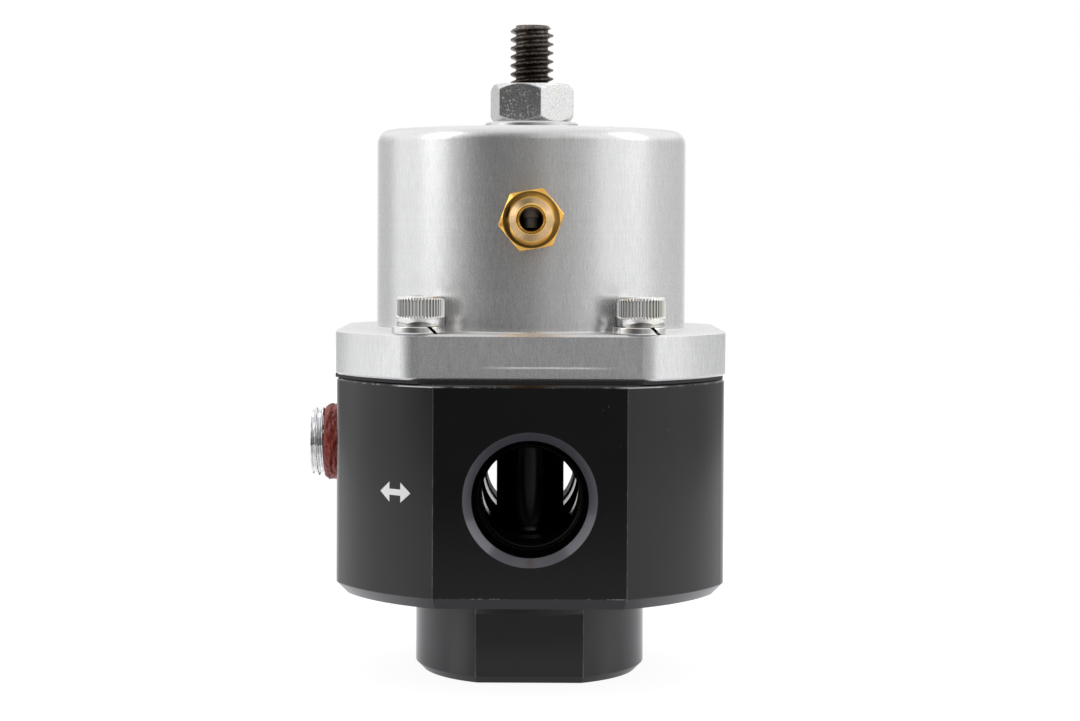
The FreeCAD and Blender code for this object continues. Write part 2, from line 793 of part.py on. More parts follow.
def make_spring_button():
    """The plate on top of the spring: a pilot inside the coil and a pocket for the screw's tip."""
    body = new_body("spring_button", "button_seat")
    pilot_radius = "spring_mean_radius - spring_wire_radius - button_pilot_gap"
    hub_top = "button_flange + button_hub_height"
    pocket_floor = f"{hub_top} - button_pocket_depth"
    pocket_radius = "screw_radius + button_pocket_gap"
    turned = turn(body, "outline", [
        ("0", "-button_pilot"),
        (pilot_radius, "-button_pilot"),
        (pilot_radius, "0"),
        ("button_radius", "0"),
        ("button_radius", "button_flange"),
        ("button_hub_radius", "button_flange"),
        ("button_hub_radius", hub_top),
        (pocket_radius, hub_top),
        (pocket_radius, pocket_floor),
        ("0", pocket_floor),
    ])
    turned = dress(body, "Chamfer", turned, rings((pilot_radius, "-button_pilot")), "button_edge")
    dress(body, "Fillet", turned, rings(("button_radius", "button_flange")), "button_edge")
    return body


def make_bonnet():
    """The spring cover, turned in one piece with its flange."""
    body = new_body("bonnet")
    outline = new_sketch(body, "flange", "XY_Plane", lift="bonnet_bottom")
    draw_block(outline, "flange_radius", "flange_flat", "flange_side")
    flange = pad(body, outline, "flange_top - bonnet_bottom")
    flange = dress(body, "Fillet", flange, is_upright, "flange_blend")
    flange = dress(body, "Chamfer", flange,
                   lambda edge: lies_at(edge, "flange_top") or lies_at(edge, "bonnet_bottom"), "flange_edge")
    cover = turn(body, "cover", [
        ("0", "bonnet_bottom"),
        ("bonnet_radius", "bonnet_bottom"),
        ("bonnet_radius", "bonnet_top"),
        ("0", "bonnet_top"),
    ])
    cover = dress(body, "Fillet", cover, rings(("bonnet_radius", "bonnet_top")), "bonnet_top_fillet")
    dress(body, "Fillet", cover, rings(("bonnet_radius", "flange_top")), "bonnet_base_fillet")
    hole_radius = "screw_radius + thread_gap"
    groove(body, "spring_chamber", [
        ("0", f"bonnet_bottom - {CUT_MARGIN}"),
        ("spring_chamber_radius", f"bonnet_bottom - {CUT_MARGIN}"),
        ("spring_chamber_radius", "chamber_ceiling - chamber_corner"),
        ("spring_chamber_radius - chamber_corner", "chamber_ceiling"),
        (hole_radius, "chamber_ceiling"),
        (hole_radius, f"bonnet_top + {CUT_MARGIN}"),
        ("0", f"bonnet_top + {CUT_MARGIN}"),
    ])
    barb_hole = new_sketch(body, "barb_hole", "XZ_Plane")
    draw_circle(barb_hole, ("0", "barb_height"), "barb_thread_radius + thread_gap")
    pocket(body, barb_hole, f"bonnet_radius + {CUT_MARGIN}", upward=True)
    screw_holes(body, "holes", "cap_hole_radius", f"flange_top + {CUT_MARGIN}")
    return body


def make_sealing_washer():
    """The thin sealing disc between the lock nut and the bonnet."""
    body = new_body("sealing_washer", "bonnet_top")
    disc = turn(body, "outline", [
        ("screw_radius + thread_gap", "0"),
        ("washer_radius", "0"),
        ("washer_radius", "washer_thickness"),
        ("screw_radius + thread_gap", "washer_thickness"),
    ])
    dress(body, "Chamfer", disc, rings(("washer_radius", "washer_thickness")), "washer_edge")
    return body


def make_lock_nut():
    """The hexagon nut that locks the adjusting screw, bevelled at both ends."""
    body = new_body("lock_nut", "washer_top")
    outline = new_sketch(body, "outline", "XY_Plane")
    draw_hexagon(outline, "nut_across", turn="nut_angle + 30")
    pad(body, outline, "nut_height")
    corner = "nut_across / sqrt(3)"
    face_radius = "nut_across / 2 - nut_face_inset"
    groove(body, "bevels", [
        (face_radius, "nut_height"),
        (f"{corner} + {CUT_MARGIN}", "nut_height"),
        (f"{corner} + {CUT_MARGIN}", "0"),
        (face_radius, "0"),
        (corner, "nut_bevel"),
        (corner, "nut_height - nut_bevel"),
    ])
    hole_radius = "screw_radius + thread_gap"
    groove(body, "thread", [
        ("0", "0"),
        (f"{hole_radius} + nut_countersink", "0"),
        (hole_radius, "nut_countersink"),
        (hole_radius, "nut_height - nut_countersink"),
        (f"{hole_radius} + nut_countersink", "nut_height"),
        ("0", "nut_height"),
    ])
    return body


def make_adjusting_screw():
    """The set screw with chamfered ends and a hexagon socket in its top."""
    body = new_body("adjusting_screw", "screw_tip")
    inner = "screw_radius - screw_chamfer"
    turn(body, "outline", [
        ("0", "0"),
        (inner, "0"),
        ("screw_radius", "screw_chamfer"),
        ("screw_radius", "screw_length - screw_chamfer"),
        (inner, "screw_length"),
        ("0", "screw_length"),
    ])
    hex_socket(body, "socket", "screw_socket_across", "screw_socket_depth", "screw_length")
    return body


def make_cap_screws():
    """Four socket head cap screws that clamp the bonnet and the diaphragm on the body."""
    screw = new_body("cap_screw", node=False)
    turned = turn(screw, "outline", [
        ("0", "-cap_length"),
        ("cap_shank_radius - cap_head_edge", "-cap_length"),
        ("cap_shank_radius", "cap_head_edge - cap_length"),
        ("cap_shank_radius", "0"),
        ("cap_head_radius - cap_foot_step", "0"),
        ("cap_head_radius - cap_foot_step", "cap_foot_height"),
        ("cap_head_radius", "cap_foot_height + cap_foot_step"),
        ("cap_head_radius", "cap_head_height"),
        ("0", "cap_head_height"),
    ])
    dress(screw, "Fillet", turned, rings(("cap_head_radius", "cap_head_height")), "cap_head_edge")
    hex_socket(screw, "socket", "cap_socket_across", "cap_socket_depth", "cap_head_height")
    return add_copies("cap_screws", screw, screw_places("flange_top + lock_washer_thickness"))


def make_lock_washers():
    """Four split washers under the cap screws, each pushed to one side of its loose bore."""
    washer = new_body("lock_washer", node=False)
    ring = turn(washer, "outline", [
        ("lock_washer_bore", "0"),
        ("lock_washer_radius", "0"),
        ("lock_washer_radius", "lock_washer_thickness"),
        ("lock_washer_bore", "lock_washer_thickness"),
    ])
    dress(washer, "Fillet", ring, rings(("lock_washer_radius", "0"),
                                        ("lock_washer_radius", "lock_washer_thickness")),
          "lock_washer_edge")
    split = new_sketch(washer, "split", "XZ_Plane")
    lean = "lock_washer_thickness / 2"
    left = "lock_washer_radius / 2"
    draw_polygon(split, [
        (f"{left} - {lean}", "lock_washer_thickness"),
        (f"{left} - {lean} + lock_washer_gap", "lock_washer_thickness"),
        (f"{left} + {lean} + lock_washer_gap", "0"),
        (f"{left} + {lean}", "0"),
    ])
    pocket(washer, split, "lock_washer_radius", upward=True)
    return add_copies("lock_washers", washer, screw_places("flange_top", "lock_washer_shift"))


def make_vacuum_fitting():
    """The brass hose barb, screwed into the front of the bonnet with its axis towards the front."""
    body = new_body("vacuum_fitting", "barb_height", FreeCAD.Rotation(FreeCAD.Vector(1, 0, 0), 90))
    bind(body, ".Placement.Base.y", "-bonnet_radius")
    outline = new_sketch(body, "hexagon", "XY_Plane")
    draw_hexagon(outline, "barb_hex_across", turn="barb_hex_turn")
    pad(body, outline, "barb_hex_thickness")
    bevel_corners(body, "bevel", "barb_hex_across / sqrt(3)", "barb_hex_across / 2 - barb_face_inset",
                  "barb_hex_thickness", "barb_hex_bevel")
    inner_end = "-(bonnet_radius - spring_chamber_radius - barb_thread_end_gap)"
    neck_end = "barb_hex_thickness + barb_neck_length"
    first_end = f"{neck_end} + barb_ridge_length"
    second_end = f"{first_end} + barb_ridge_length"
    turn(body, "barb", [
        ("0", inner_end),
        ("barb_thread_radius", inner_end),
        ("barb_thread_radius", "0"),
        ("barb_neck_radius", "barb_hex_thickness"),
        ("barb_neck_radius", neck_end),
        ("barb_ridge_radius", f"{neck_end} + barb_ridge_step"),
        ("barb_neck_radius", first_end),
        ("barb_ridge_radius", f"{first_end} + barb_ridge_step"),
        ("barb_tip_radius", second_end),
        ("0", second_end),
    ])
    groove(body, "bore", [
        ("0", f"{inner_end} - {CUT_MARGIN}"),
        ("barb_bore_radius", f"{inner_end} - {CUT_MARGIN}"),
        ("barb_bore_radius", f"{second_end} - barb_bore_edge"),
        ("barb_bore_radius + barb_bore_edge", second_end),
        ("barb_bore_radius + barb_bore_edge", f"{second_end} + {CUT_MARGIN}"),
        ("0", f"{second_end} + {CUT_MARGIN}"),
    ])
    return body


def place_in_gauge_port(body):
    """Lay a body's own axis along the gauge port, pointing out of its mouth."""
    body.Placement = FreeCAD.Placement(FreeCAD.Vector(), FreeCAD.Rotation(FreeCAD.Vector(0, 1, 0), -90))
    bind(body, ".Placement.Base.z", "gauge_height")


def make_gauge_port_plug():
    """The tapered pipe plug with a hexagon socket."""
    body = new_body("gauge_port_plug", "gauge_height")
    place_in_gauge_port(body)
    inner = "plug_face - plug_length"
    turn(body, "outline", [
        ("0", inner),
        (plug_radius_at(inner), inner),
        (plug_radius_at("plug_face - plug_edge"), "plug_face - plug_edge"),
        ("plug_radius - plug_edge", "plug_face"),
        ("0", "plug_face"),
    ])
    hex_socket(body, "socket", "plug_socket_across", "plug_socket_depth", "plug_face")
    return body


def make_plug_sealant():
    """The ring of thread sealant squeezed out of the mouth of the gauge port."""
    body = new_body("plug_sealant", "gauge_height")
    place_in_gauge_port(body)
    inner = "body_side - gauge_mouth_depth"
    crest = "body_side + sealant_proud / 2"
    outer = "body_side + sealant_proud"
    turn(body, "outline", [
        (plug_radius_at(inner), inner),
        ("gauge_mouth_radius - sealant_foot_step", "body_side"),
        ("sealant_radius", crest),
        ("sealant_radius - sealant_edge_step", outer),
        (plug_radius_at(outer), outer),
    ])
    return body


def check_and_write():
    """Stop if anything failed, then write each node's shape to its own file."""
    doc.recompute()
    for item in doc.Objects:
        if "Invalid" in item.State or "Error" in item.State:
            raise ValueError(f"{item.Label} failed: {item.State}")
    os.makedirs("parts", exist_ok=True)
    for node in nodes:
        shape = Part.getShape(node)
        if shape.isNull() or not shape.isValid():
            raise ValueError(f"{node.Label} has no valid shape")
        shape.exportStep(os.path.join("parts", f"{node.Label}.step"))


fill_sheet()
make_body()
make_return_port_housing()
make_housing_o_ring()
make_valve_seat()
make_valve_ball()
make_lower_diaphragm_plate()
make_diaphragm()
make_upper_diaphragm_plate()
make_diaphragm_nut()
make_main_spring()
make_spring_button()
make_bonnet()
make_sealing_washer()
make_lock_nut()
make_adjusting_screw()
make_cap_screws()
make_lock_washers()
make_vacuum_fitting()
make_gauge_port_plug()
make_plug_sealant()
check_and_write()
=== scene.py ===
import json
import math

import bmesh
import bpy
from mathutils import Matrix, Vector, noise


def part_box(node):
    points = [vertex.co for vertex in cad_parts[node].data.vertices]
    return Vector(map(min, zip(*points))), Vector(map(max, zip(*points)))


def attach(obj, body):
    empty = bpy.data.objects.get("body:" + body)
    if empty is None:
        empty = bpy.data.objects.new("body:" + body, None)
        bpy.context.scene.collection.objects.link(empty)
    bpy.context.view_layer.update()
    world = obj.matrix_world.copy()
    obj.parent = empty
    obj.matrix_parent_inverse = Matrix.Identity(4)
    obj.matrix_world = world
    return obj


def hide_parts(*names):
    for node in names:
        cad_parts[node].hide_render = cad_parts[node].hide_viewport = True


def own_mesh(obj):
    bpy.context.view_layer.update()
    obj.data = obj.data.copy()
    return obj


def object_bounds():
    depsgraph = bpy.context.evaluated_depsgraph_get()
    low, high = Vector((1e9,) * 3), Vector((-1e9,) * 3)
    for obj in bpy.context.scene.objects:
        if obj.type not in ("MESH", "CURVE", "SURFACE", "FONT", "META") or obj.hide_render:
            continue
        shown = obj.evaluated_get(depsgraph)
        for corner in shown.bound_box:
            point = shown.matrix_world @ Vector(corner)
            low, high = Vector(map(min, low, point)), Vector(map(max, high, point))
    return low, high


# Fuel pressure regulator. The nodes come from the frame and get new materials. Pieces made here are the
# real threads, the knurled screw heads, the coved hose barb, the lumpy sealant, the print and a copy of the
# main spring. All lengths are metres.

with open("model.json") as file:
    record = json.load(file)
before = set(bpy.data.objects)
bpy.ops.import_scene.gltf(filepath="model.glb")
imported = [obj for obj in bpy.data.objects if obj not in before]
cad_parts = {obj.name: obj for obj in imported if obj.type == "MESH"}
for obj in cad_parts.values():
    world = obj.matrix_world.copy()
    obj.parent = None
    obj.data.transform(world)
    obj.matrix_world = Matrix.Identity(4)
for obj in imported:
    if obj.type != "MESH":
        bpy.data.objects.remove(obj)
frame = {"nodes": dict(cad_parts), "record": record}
cad_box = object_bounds()
NODES = frame["nodes"]
MM = 0.001

# Places read from the frame
SCREW_LOW, SCREW_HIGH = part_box("adjusting_screw")
BODY_LOW, BODY_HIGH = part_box("body")
CAPS_LOW, CAPS_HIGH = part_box("cap_screws")
PLUG_LOW, PLUG_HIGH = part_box("gauge_port_plug")
SEALANT_LOW, SEALANT_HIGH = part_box("plug_sealant")
BARB_LOW, BARB_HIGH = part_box("vacuum_fitting")
PORT_MOUNT = next(m for m in frame["record"]["mounts"] if m["name"] == "front_port")
PORT_HEIGHT = PORT_MOUNT["pos_m"][2]
PORT_RADIUS = PORT_MOUNT["dims"]["r_mm"] * MM
PORT_LENGTH = PORT_MOUNT["dims"]["length_mm"] * MM
BARB_HEIGHT = (BARB_LOW.z + BARB_HIGH.z) / 2

# A radius that is beyond the whole part
OUTSIDE = 40.0 * MM

# Camera, read from the photograph in its 1080 x 721 frame
PHOTO_WIDTH, PHOTO_HEIGHT = 1080, 721
CAMERA_DISTANCE = 0.335
CAMERA_HEIGHT = 0.0643
CAMERA_ROLL = math.radians(0.25)
CAMERA_TILT = math.radians(1.3)
HORIZON_ROW = 230
AXIS_COLUMN = 531
METRES_PER_PIXEL = 0.1475 * MM
SENSOR_WIDTH = 36
CLIP_START = 0.01


def make_camera():
    """A camera in front that looks down a little, with the rest of the framing done by shift."""
    data = bpy.data.cameras.new("camera")
    data.sensor_width = SENSOR_WIDTH
    data.lens = SENSOR_WIDTH * CAMERA_DISTANCE / (METRES_PER_PIXEL * PHOTO_WIDTH)
    data.shift_x = (PHOTO_WIDTH / 2 - AXIS_COLUMN) / PHOTO_WIDTH
    tilted_away = math.tan(CAMERA_TILT) * data.lens / SENSOR_WIDTH
    data.shift_y = tilted_away - (PHOTO_HEIGHT / 2 - HORIZON_ROW) / PHOTO_WIDTH
    data.clip_start = CLIP_START
    camera = bpy.data.objects.new("camera", data)
    upright = Matrix.Rotation(math.radians(90) - CAMERA_TILT, 4, "X") @ Matrix.Rotation(CAMERA_ROLL, 4, "Z")
    camera.matrix_world = Matrix.Translation((0, -CAMERA_DISTANCE, CAMERA_HEIGHT)) @ upright
    bpy.context.scene.collection.objects.link(camera)
    bpy.context.scene.camera = camera


# Shader nodes in few words

WHITE, BLACK = (1.0, 1.0, 1.0), (0.0, 0.0, 0.0)


def feed(tree, socket, value):
    """Gives a socket a constant or another node's output."""
    if isinstance(value, bpy.types.NodeSocket):
        tree.links.new(value, socket)
    else:
        socket.default_value = value


def add(tree, kind, settings=None, **sockets):
    """A shader node. Its sockets are given by their names, or by number as in i3 for the fourth."""
    made = tree.nodes.new(kind)
    for name, setting in (settings or {}).items():
        setattr(made, name, setting)
    for name, value in sockets.items():
        numbered = name[0] == "i" and name[1:].isdigit()
        feed(tree, made.inputs[int(name[1:]) if numbered else name], value)
    return made


def math_node(tree, operation, first, second=0.0):
    return add(tree, "ShaderNodeMath", {"operation": operation}, i0=first, i1=second).outputs[0]


def chained(operation):
    """A function that joins two or more values with one operation, from the left."""
    def join(tree, first, *others):
        for other in others:
            first = math_node(tree, operation, first, other)
        return first
    return join


product = chained("MULTIPLY")
total = chained("ADD")
largest = chained("MAXIMUM")


def ramp(tree, factor, stops):
    """A colour ramp through (position, grey) stops."""
    made = add(tree, "ShaderNodeValToRGB", i0=factor)
    elements = made.color_ramp.elements
    while len(elements) < len(stops):
        elements.new(0.5)
    for element, (position, grey) in zip(elements, stops):
        element.position = position
        element.color = (grey, grey, grey, 1)
    return made.outputs[0]


def grain_of(tree, vector, scale, detail=2.0, roughness=0.5):
    """Noise between 0 and 1, with scale in cells for each metre."""
    made = add(tree, "ShaderNodeTexNoise", Vector=vector, Scale=scale, Detail=detail, Roughness=roughness)
    return made.outputs["Fac"]


def mix(tree, factor, first, second, blend="MIX"):
    """The first colour at factor 0 and the second at 1, or both blended in another way."""
    made = add(tree, "ShaderNodeMix", {"data_type": "RGBA", "blend_type": blend}, i0=factor)
    for socket, value in ((made.inputs[6], first), (made.inputs[7], second)):
        feed(tree, socket, (*value, 1) if isinstance(value, tuple) else value)
    return made.outputs[2]


def remap(tree, value, low, high, first, last, smooth=False):
    """A value from low to high brought to lie between first and last, and held there outside."""
    kind = {"interpolation_type": "SMOOTHSTEP"} if smooth else {}
    return add(tree, "ShaderNodeMapRange", kind, i0=value, i1=low, i2=high, i3=first, i4=last).outputs[0]


def spread(tree, factor, first, last):
    """A factor between 0 and 1 brought to lie between two values."""
    return remap(tree, factor, 0.0, 1.0, first, last)


def contrast(tree, factor, extra):
    """A noise's factor drawn out past 0 and 1, so that a mix shows more of both colours."""
    return spread(tree, factor, -extra, 1 + extra)


def window(tree, value, low, high, edge):
    """1 where the value lies between low and high, falling to 0 over the edge."""
    rise = remap(tree, value, low - edge, low, 0.0, 1.0)
    fall = remap(tree, value, high, high + edge, 1.0, 0.0)
    return product(tree, rise, fall)


def soft_edges(tree, radius):
    """The normal with every sharp edge rounded off by the radius."""
    return add(tree, "ShaderNodeBevel", {"samples": 4}, Radius=radius).outputs[0]


def bump(tree, height, strength, distance, under=None):
    """The normal tilted by a height between 0 and 1 that stands for the distance."""
    sockets = {"Height": height, "Strength": strength, "Distance": distance}
    if under is not None:
        sockets["Normal"] = under
    return add(tree, "ShaderNodeBump", **sockets).outputs[0]


def shown_white(tree, part):
    """1 for the camera, and in the given part also for rays that a piece mirrors or lets through."""
    paths = add(tree, "ShaderNodeLightPath").outputs
    mirrored = largest(tree, paths["Is Glossy Ray"], paths["Is Transmission Ray"])
    return largest(tree, paths["Is Camera Ray"], product(tree, mirrored, part))


def scaled(colour, share):
    """A colour made darker or lighter, no channel past 1."""
    return tuple(min(1.0, channel * share) for channel in colour)


# How steep a face may be and still count as level: the upward share of its normal
LEVEL_FROM, LEVEL_FULL = 0.5, 0.9


class Surface:
    """A material under construction, with the piece's own coordinates at hand."""

    def __init__(self, name):
        self.material = bpy.data.materials.new(name)
        self.material.use_nodes = True
        self.tree = self.material.node_tree
        self.shader = self.tree.nodes["Principled BSDF"]
        self.place = add(self.tree, "ShaderNodeTexCoord").outputs["Object"]
        parts = add(self.tree, "ShaderNodeSeparateXYZ", i0=self.place)
        self.x, self.y, self.z = parts.outputs

    def set(self, **sockets):
        """Sets the shader's sockets. Underscores stand for spaces in their names."""
        for name, value in sockets.items():
            feed(self.tree, self.shader.inputs[name.replace("_", " ")], value)
        return self.material

    def grain(self, scale, detail=2.0, roughness=0.5):
        """Noise in all directions."""
        return grain_of(self.tree, self.place, scale, detail, roughness)

    def grain_across(self, scale, detail):
        """Noise that changes from left to right alone."""
        level = add(self.tree, "ShaderNodeMapping", i0=self.place, Scale=(scale, 0, 0)).outputs[0]
        return grain_of(self.tree, level, 1.0, detail)

    def turned(self, centre=(0, 0), axis="Z"):
        """Coordinates for a lathe's lines, and the distance from the turning axis."""
        across = {"Z": (self.x, self.y), "Y": (self.x, self.z)}[axis]
        along = {"Z": self.z, "Y": self.y}[axis]
        squares = []
        for value, offset in zip(across, centre):
            shifted = math_node(self.tree, "SUBTRACT", value, offset)
            squares.append(product(self.tree, shifted, shifted))
        radius = math_node(self.tree, "SQRT", total(self.tree, *squares))
        return add(self.tree, "ShaderNodeCombineXYZ", i0=radius, i1=along).outputs[0], radius

    def facing_up(self):
        """1 on level faces and 0 on upright ones."""
        normal = add(self.tree, "ShaderNodeNewGeometry").outputs["Normal"]
        up = add(self.tree, "ShaderNodeSeparateXYZ", i0=normal).outputs[2]
        return remap(self.tree, math_node(self.tree, "ABSOLUTE", up), LEVEL_FROM, LEVEL_FULL, 0.0, 1.0)

    def angle(self):
        """Angle about the part's axis in radians, 0 at the front and growing to the right."""
        return math_node(self.tree, "ARCTAN2", self.x, product(self.tree, self.y, -1.0))


# Share of bare metal's shine left under a clear anodised skin, and in a scratch through it
ANODISED_METAL, SCRATCHED_METAL = 0.81, 0.15

# The upright grain: the radius at which it is laid out, and how much it is drawn out upwards
GRAIN_RADIUS = 22.5 * MM
GRAIN_DRAWN = 0.10
STREAKS_SHARE = 0.85
LEVEL_ROUGHNESS = 0.25


def turned_aluminium(name, base, roughness, scratch=False):
    """Clear anodised aluminium with the lathe's fine rings and a faint upright grain."""
    s = Surface(name)
    t = s.tree
    rings, _ = s.turned()
    fine = grain_of(t, rings, scale=9000, detail=1)
    coarse = grain_of(t, rings, scale=1400, detail=3)
    around = product(t, s.angle(), GRAIN_RADIUS)
    drawn = product(t, s.z, GRAIN_DRAWN)
    strip = add(t, "ShaderNodeCombineXYZ", i0=around, i1=drawn).outputs[0]
    streaks = grain_of(t, strip, scale=3600, detail=3, roughness=0.6)
    level = s.facing_up()
    upright = math_node(t, "SUBTRACT", 1.0, level)
    streaks = total(t, product(t, streaks, upright), product(t, coarse, level))
    grain = total(t, product(t, streaks, STREAKS_SHARE), product(t, coarse, 1 - STREAKS_SHARE))
    colour = mix(t, contrast(t, grain, 0.5), scaled(base, 0.88), scaled(base, 1.06))
    cloud = spread(t, s.grain(scale=90), -0.02, 0.02)
    rough = total(t, spread(t, grain, roughness - 0.04, roughness + 0.04), cloud)
    rough = total(t, rough, product(t, level, LEVEL_ROUGHNESS))
    normal = bump(t, fine, 0.10, 0.004 * MM, soft_edges(t, 0.05 * MM))
    normal = bump(t, streaks, 0.06, 0.006 * MM, normal)
    metallic = ANODISED_METAL
    if scratch:
        mark = scratch_mark(s)
        colour = mix(t, mark, colour, WHITE)
        normal = bump(t, mark, 0.6, 0.02 * MM, normal)
        metallic = spread(t, mark, ANODISED_METAL, SCRATCHED_METAL)
    tangent = add(t, "ShaderNodeTangent", {"direction_type": "RADIAL", "axis": "Z"}).outputs[0]
    return s.set(Base_Color=colour, Metallic=metallic, Roughness=rough, Anisotropic=0.55,
                 Anisotropic_Rotation=0.25, Normal=normal, Tangent=tangent)


# The scratch on the flange's front: ends, fade beyond them, height, half width, waviness, and where it is
SCRATCH_LEFT, SCRATCH_RIGHT = -2.9 * MM, 7.6 * MM
SCRATCH_FADE = 4.5 * MM
SCRATCH_HEIGHT = 45.45 * MM
SCRATCH_HALF = 0.07 * MM
SCRATCH_WANDER = 0.08 * MM
SCRATCH_AHEAD = -24.0 * MM


def scratch_mark(s):
    """1 in a fine level scratch along the flange's front face."""
    t = s.tree
    wander = spread(t, s.grain_across(scale=160, detail=1), -SCRATCH_WANDER, SCRATCH_WANDER)
    height = total(t, s.z, wander)
    line = window(t, height, SCRATCH_HEIGHT - SCRATCH_HALF, SCRATCH_HEIGHT + SCRATCH_HALF, 0.08 * MM)
    length = window(t, s.x, SCRATCH_LEFT, SCRATCH_RIGHT, SCRATCH_FADE)
    front = window(t, s.y, -OUTSIDE, SCRATCH_AHEAD, 0.5 * MM)
    patchy = ramp(t, s.grain_across(scale=500, detail=2), [(0.35, 0.75), (0.6, 1.0)])
    return product(t, line, length, front, patchy)


BLACK_DEEP, BLACK_THIN = (0.0004, 0.0004, 0.0007), (0.0012, 0.0012, 0.0018)
BLACK_SPECK = (0.16, 0.16, 0.16)
# A paler, partly metallic skin on the port bevels: painted sheen for the bright crescents their smooth
# curve catches
BEVEL_PAINTED_SHEEN = (0.085, 0.085, 0.10)
BEVEL_SHEEN_METAL = 0.35
# Bare metal for rubbed specks, and for the painted highlight lines along the rim and the upright corners
RUBBED_AND_HIGHLIGHT_METAL = (0.36, 0.36, 0.36)


def black_anodised():
    """Satin black anodised aluminium: fine grain, a few pale specks, rubbed edges with painted highlight
    lines, and a painted sheen on the port bevels.
    """
    s = Surface("black_anodised")
    t = s.tree
    grain = s.grain(scale=5200)
    cloud = s.grain(scale=140, detail=3)
    rings, radius = s.turned()
    lines = grain_of(t, rings, scale=5200, detail=1)
    colour = mix(t, contrast(t, cloud, 0.2), BLACK_DEEP, BLACK_THIN)
    specks = ramp(t, s.grain(scale=2300, detail=1), [(0.79, 0.0), (0.82, 1.0)])
    colour = mix(t, product(t, specks, 0.4), colour, BLACK_SPECK)
    rough = total(t, spread(t, cloud, 0.16, 0.23), spread(t, grain, -0.02, 0.02))
    normal = bump(t, grain, 0.08, 0.004 * MM, soft_edges(t, 0.16 * MM))
    normal = bump(t, lines, 0.08, 0.004 * MM, normal)
    sides = math_node(t, "ABSOLUTE", s.x)
    depth = math_node(t, "ABSOLUTE", s.y)
    # Painted sheen on the port bevels, painted highlight lines on the rim and upright corners, rubbed
    # specks along the rim and foot
    bevel = port_bevel(s, depth)
    corners = corner_highlights(s, radius, sides)
    rubbed = largest(t, rim_wear_and_highlight(s, radius, sides), corners, rubbed_foot(s, depth))
    colour = mix(t, bevel, colour, BEVEL_PAINTED_SHEEN)
    colour = mix(t, rubbed, colour, RUBBED_AND_HIGHLIGHT_METAL)
    metallic = largest(t, rubbed, product(t, bevel, BEVEL_SHEEN_METAL))
    return s.set(Base_Color=colour, Metallic=metallic, Roughness=rough, IOR=1.5, Normal=normal)


# Half the body's depth over its flats, the radius of its round sides, and how far out they meet
BODY_FLAT = BODY_HIGH.y
BODY_RADIUS = 30.0 * MM
BODY_CORNER = math.sqrt(BODY_RADIUS ** 2 - BODY_FLAT ** 2)

# The same for the boss below
BOSS_RADIUS = 16.75 * MM
BOSS_FLAT = 14.9 * MM
BOSS_CORNER = math.sqrt(BOSS_RADIUS ** 2 - BOSS_FLAT ** 2)

# Height of the bevel at the body's foot, depth and width of the line along its rim: painted highlight mixed
# with chipped wear
BODY_FOOT = 1.6 * MM
RIM_DEPTH, RIM_WIDTH = 0.40 * MM, 0.14 * MM

# The port's bevel, from its seat to its mouth
PORT_SEAT, PORT_MOUTH = 8.05 * MM, 9.25 * MM
PORT_BEVEL_DEPTH = 1.25 * MM


def rim_wear_and_highlight(s, radius, sides):
    """A line just under the body's top face: chips of wear, and a painted highlight that runs unbroken
    beside the corners of the flats.
    """
    t = s.tree
    low = BODY_HIGH.z - RIM_DEPTH
    line = window(t, s.z, low, low + RIM_WIDTH, 0.05 * MM)
    outer = window(t, radius, BODY_FLAT + 0.15 * MM, OUTSIDE, 0.1 * MM)
    chips = ramp(t, s.grain(scale=900, detail=5, roughness=0.8), [(0.50, 0.0), (0.60, 1.0)])
    zones = ramp(t, s.grain(scale=130), [(0.40, 0.05), (0.58, 1.0)])
    by_corner = window(t, sides, BODY_CORNER - 0.5 * MM, BODY_CORNER + 4.5 * MM, 1.5 * MM)
    return product(t, line, outer, largest(t, product(t, chips, zones), by_corner))


def corner_highlights(s, radius, sides):
    """Painted highlight hair lines along the upright corners of the body and the boss, broken up like wear.
    """
    t = s.tree
    lines = []
    for corner, inner, outer, edge in (
        (BODY_CORNER, BODY_RADIUS - 0.4 * MM, OUTSIDE, 0.10 * MM),
        (BOSS_CORNER, BOSS_RADIUS - 0.15 * MM, BOSS_RADIUS + MM, 0.05 * MM),
    ):
        hair = window(t, sides, corner - 0.07 * MM, corner + 0.03 * MM, 0.04 * MM)
        lines.append(product(t, hair, window(t, radius, inner, outer, edge)))
    broken = ramp(t, s.grain(scale=420, detail=5, roughness=0.75), [(0.50, 0.16), (0.68, 0.45)])
    return product(t, largest(t, *lines), broken)


def rubbed_foot(s, depth):
    """A few specks along the lower edge of the front and back flats."""
    t = s.tree
    edge = BODY_LOW.z + BODY_FOOT
    line = window(t, s.z, edge - 0.02 * MM, edge + 0.07 * MM, 0.03 * MM)
    at_flat = window(t, depth, BODY_FLAT - 0.1 * MM, BODY_FLAT + MM, 0.05 * MM)
    few = ramp(t, s.grain(scale=260, detail=4, roughness=0.8), [(0.52, 0.0), (0.62, 0.7)])
    return product(t, line, at_flat, few)


def port_bevel(s, depth):
    """1 on the bevels at the mouths of the front and back ports."""
    t = s.tree
    _, port_radius = s.turned(centre=(0, PORT_HEIGHT), axis="Y")
    bevel = window(t, port_radius, PORT_SEAT, PORT_MOUTH - 0.03 * MM, 0.02 * MM)
    return product(t, bevel, window(t, depth, BODY_FLAT - PORT_BEVEL_DEPTH, BODY_FLAT + MM, 0.02 * MM))


ZINC_COLD, ZINC_WARM = (0.75, 0.76, 0.79), (0.80, 0.78, 0.72)


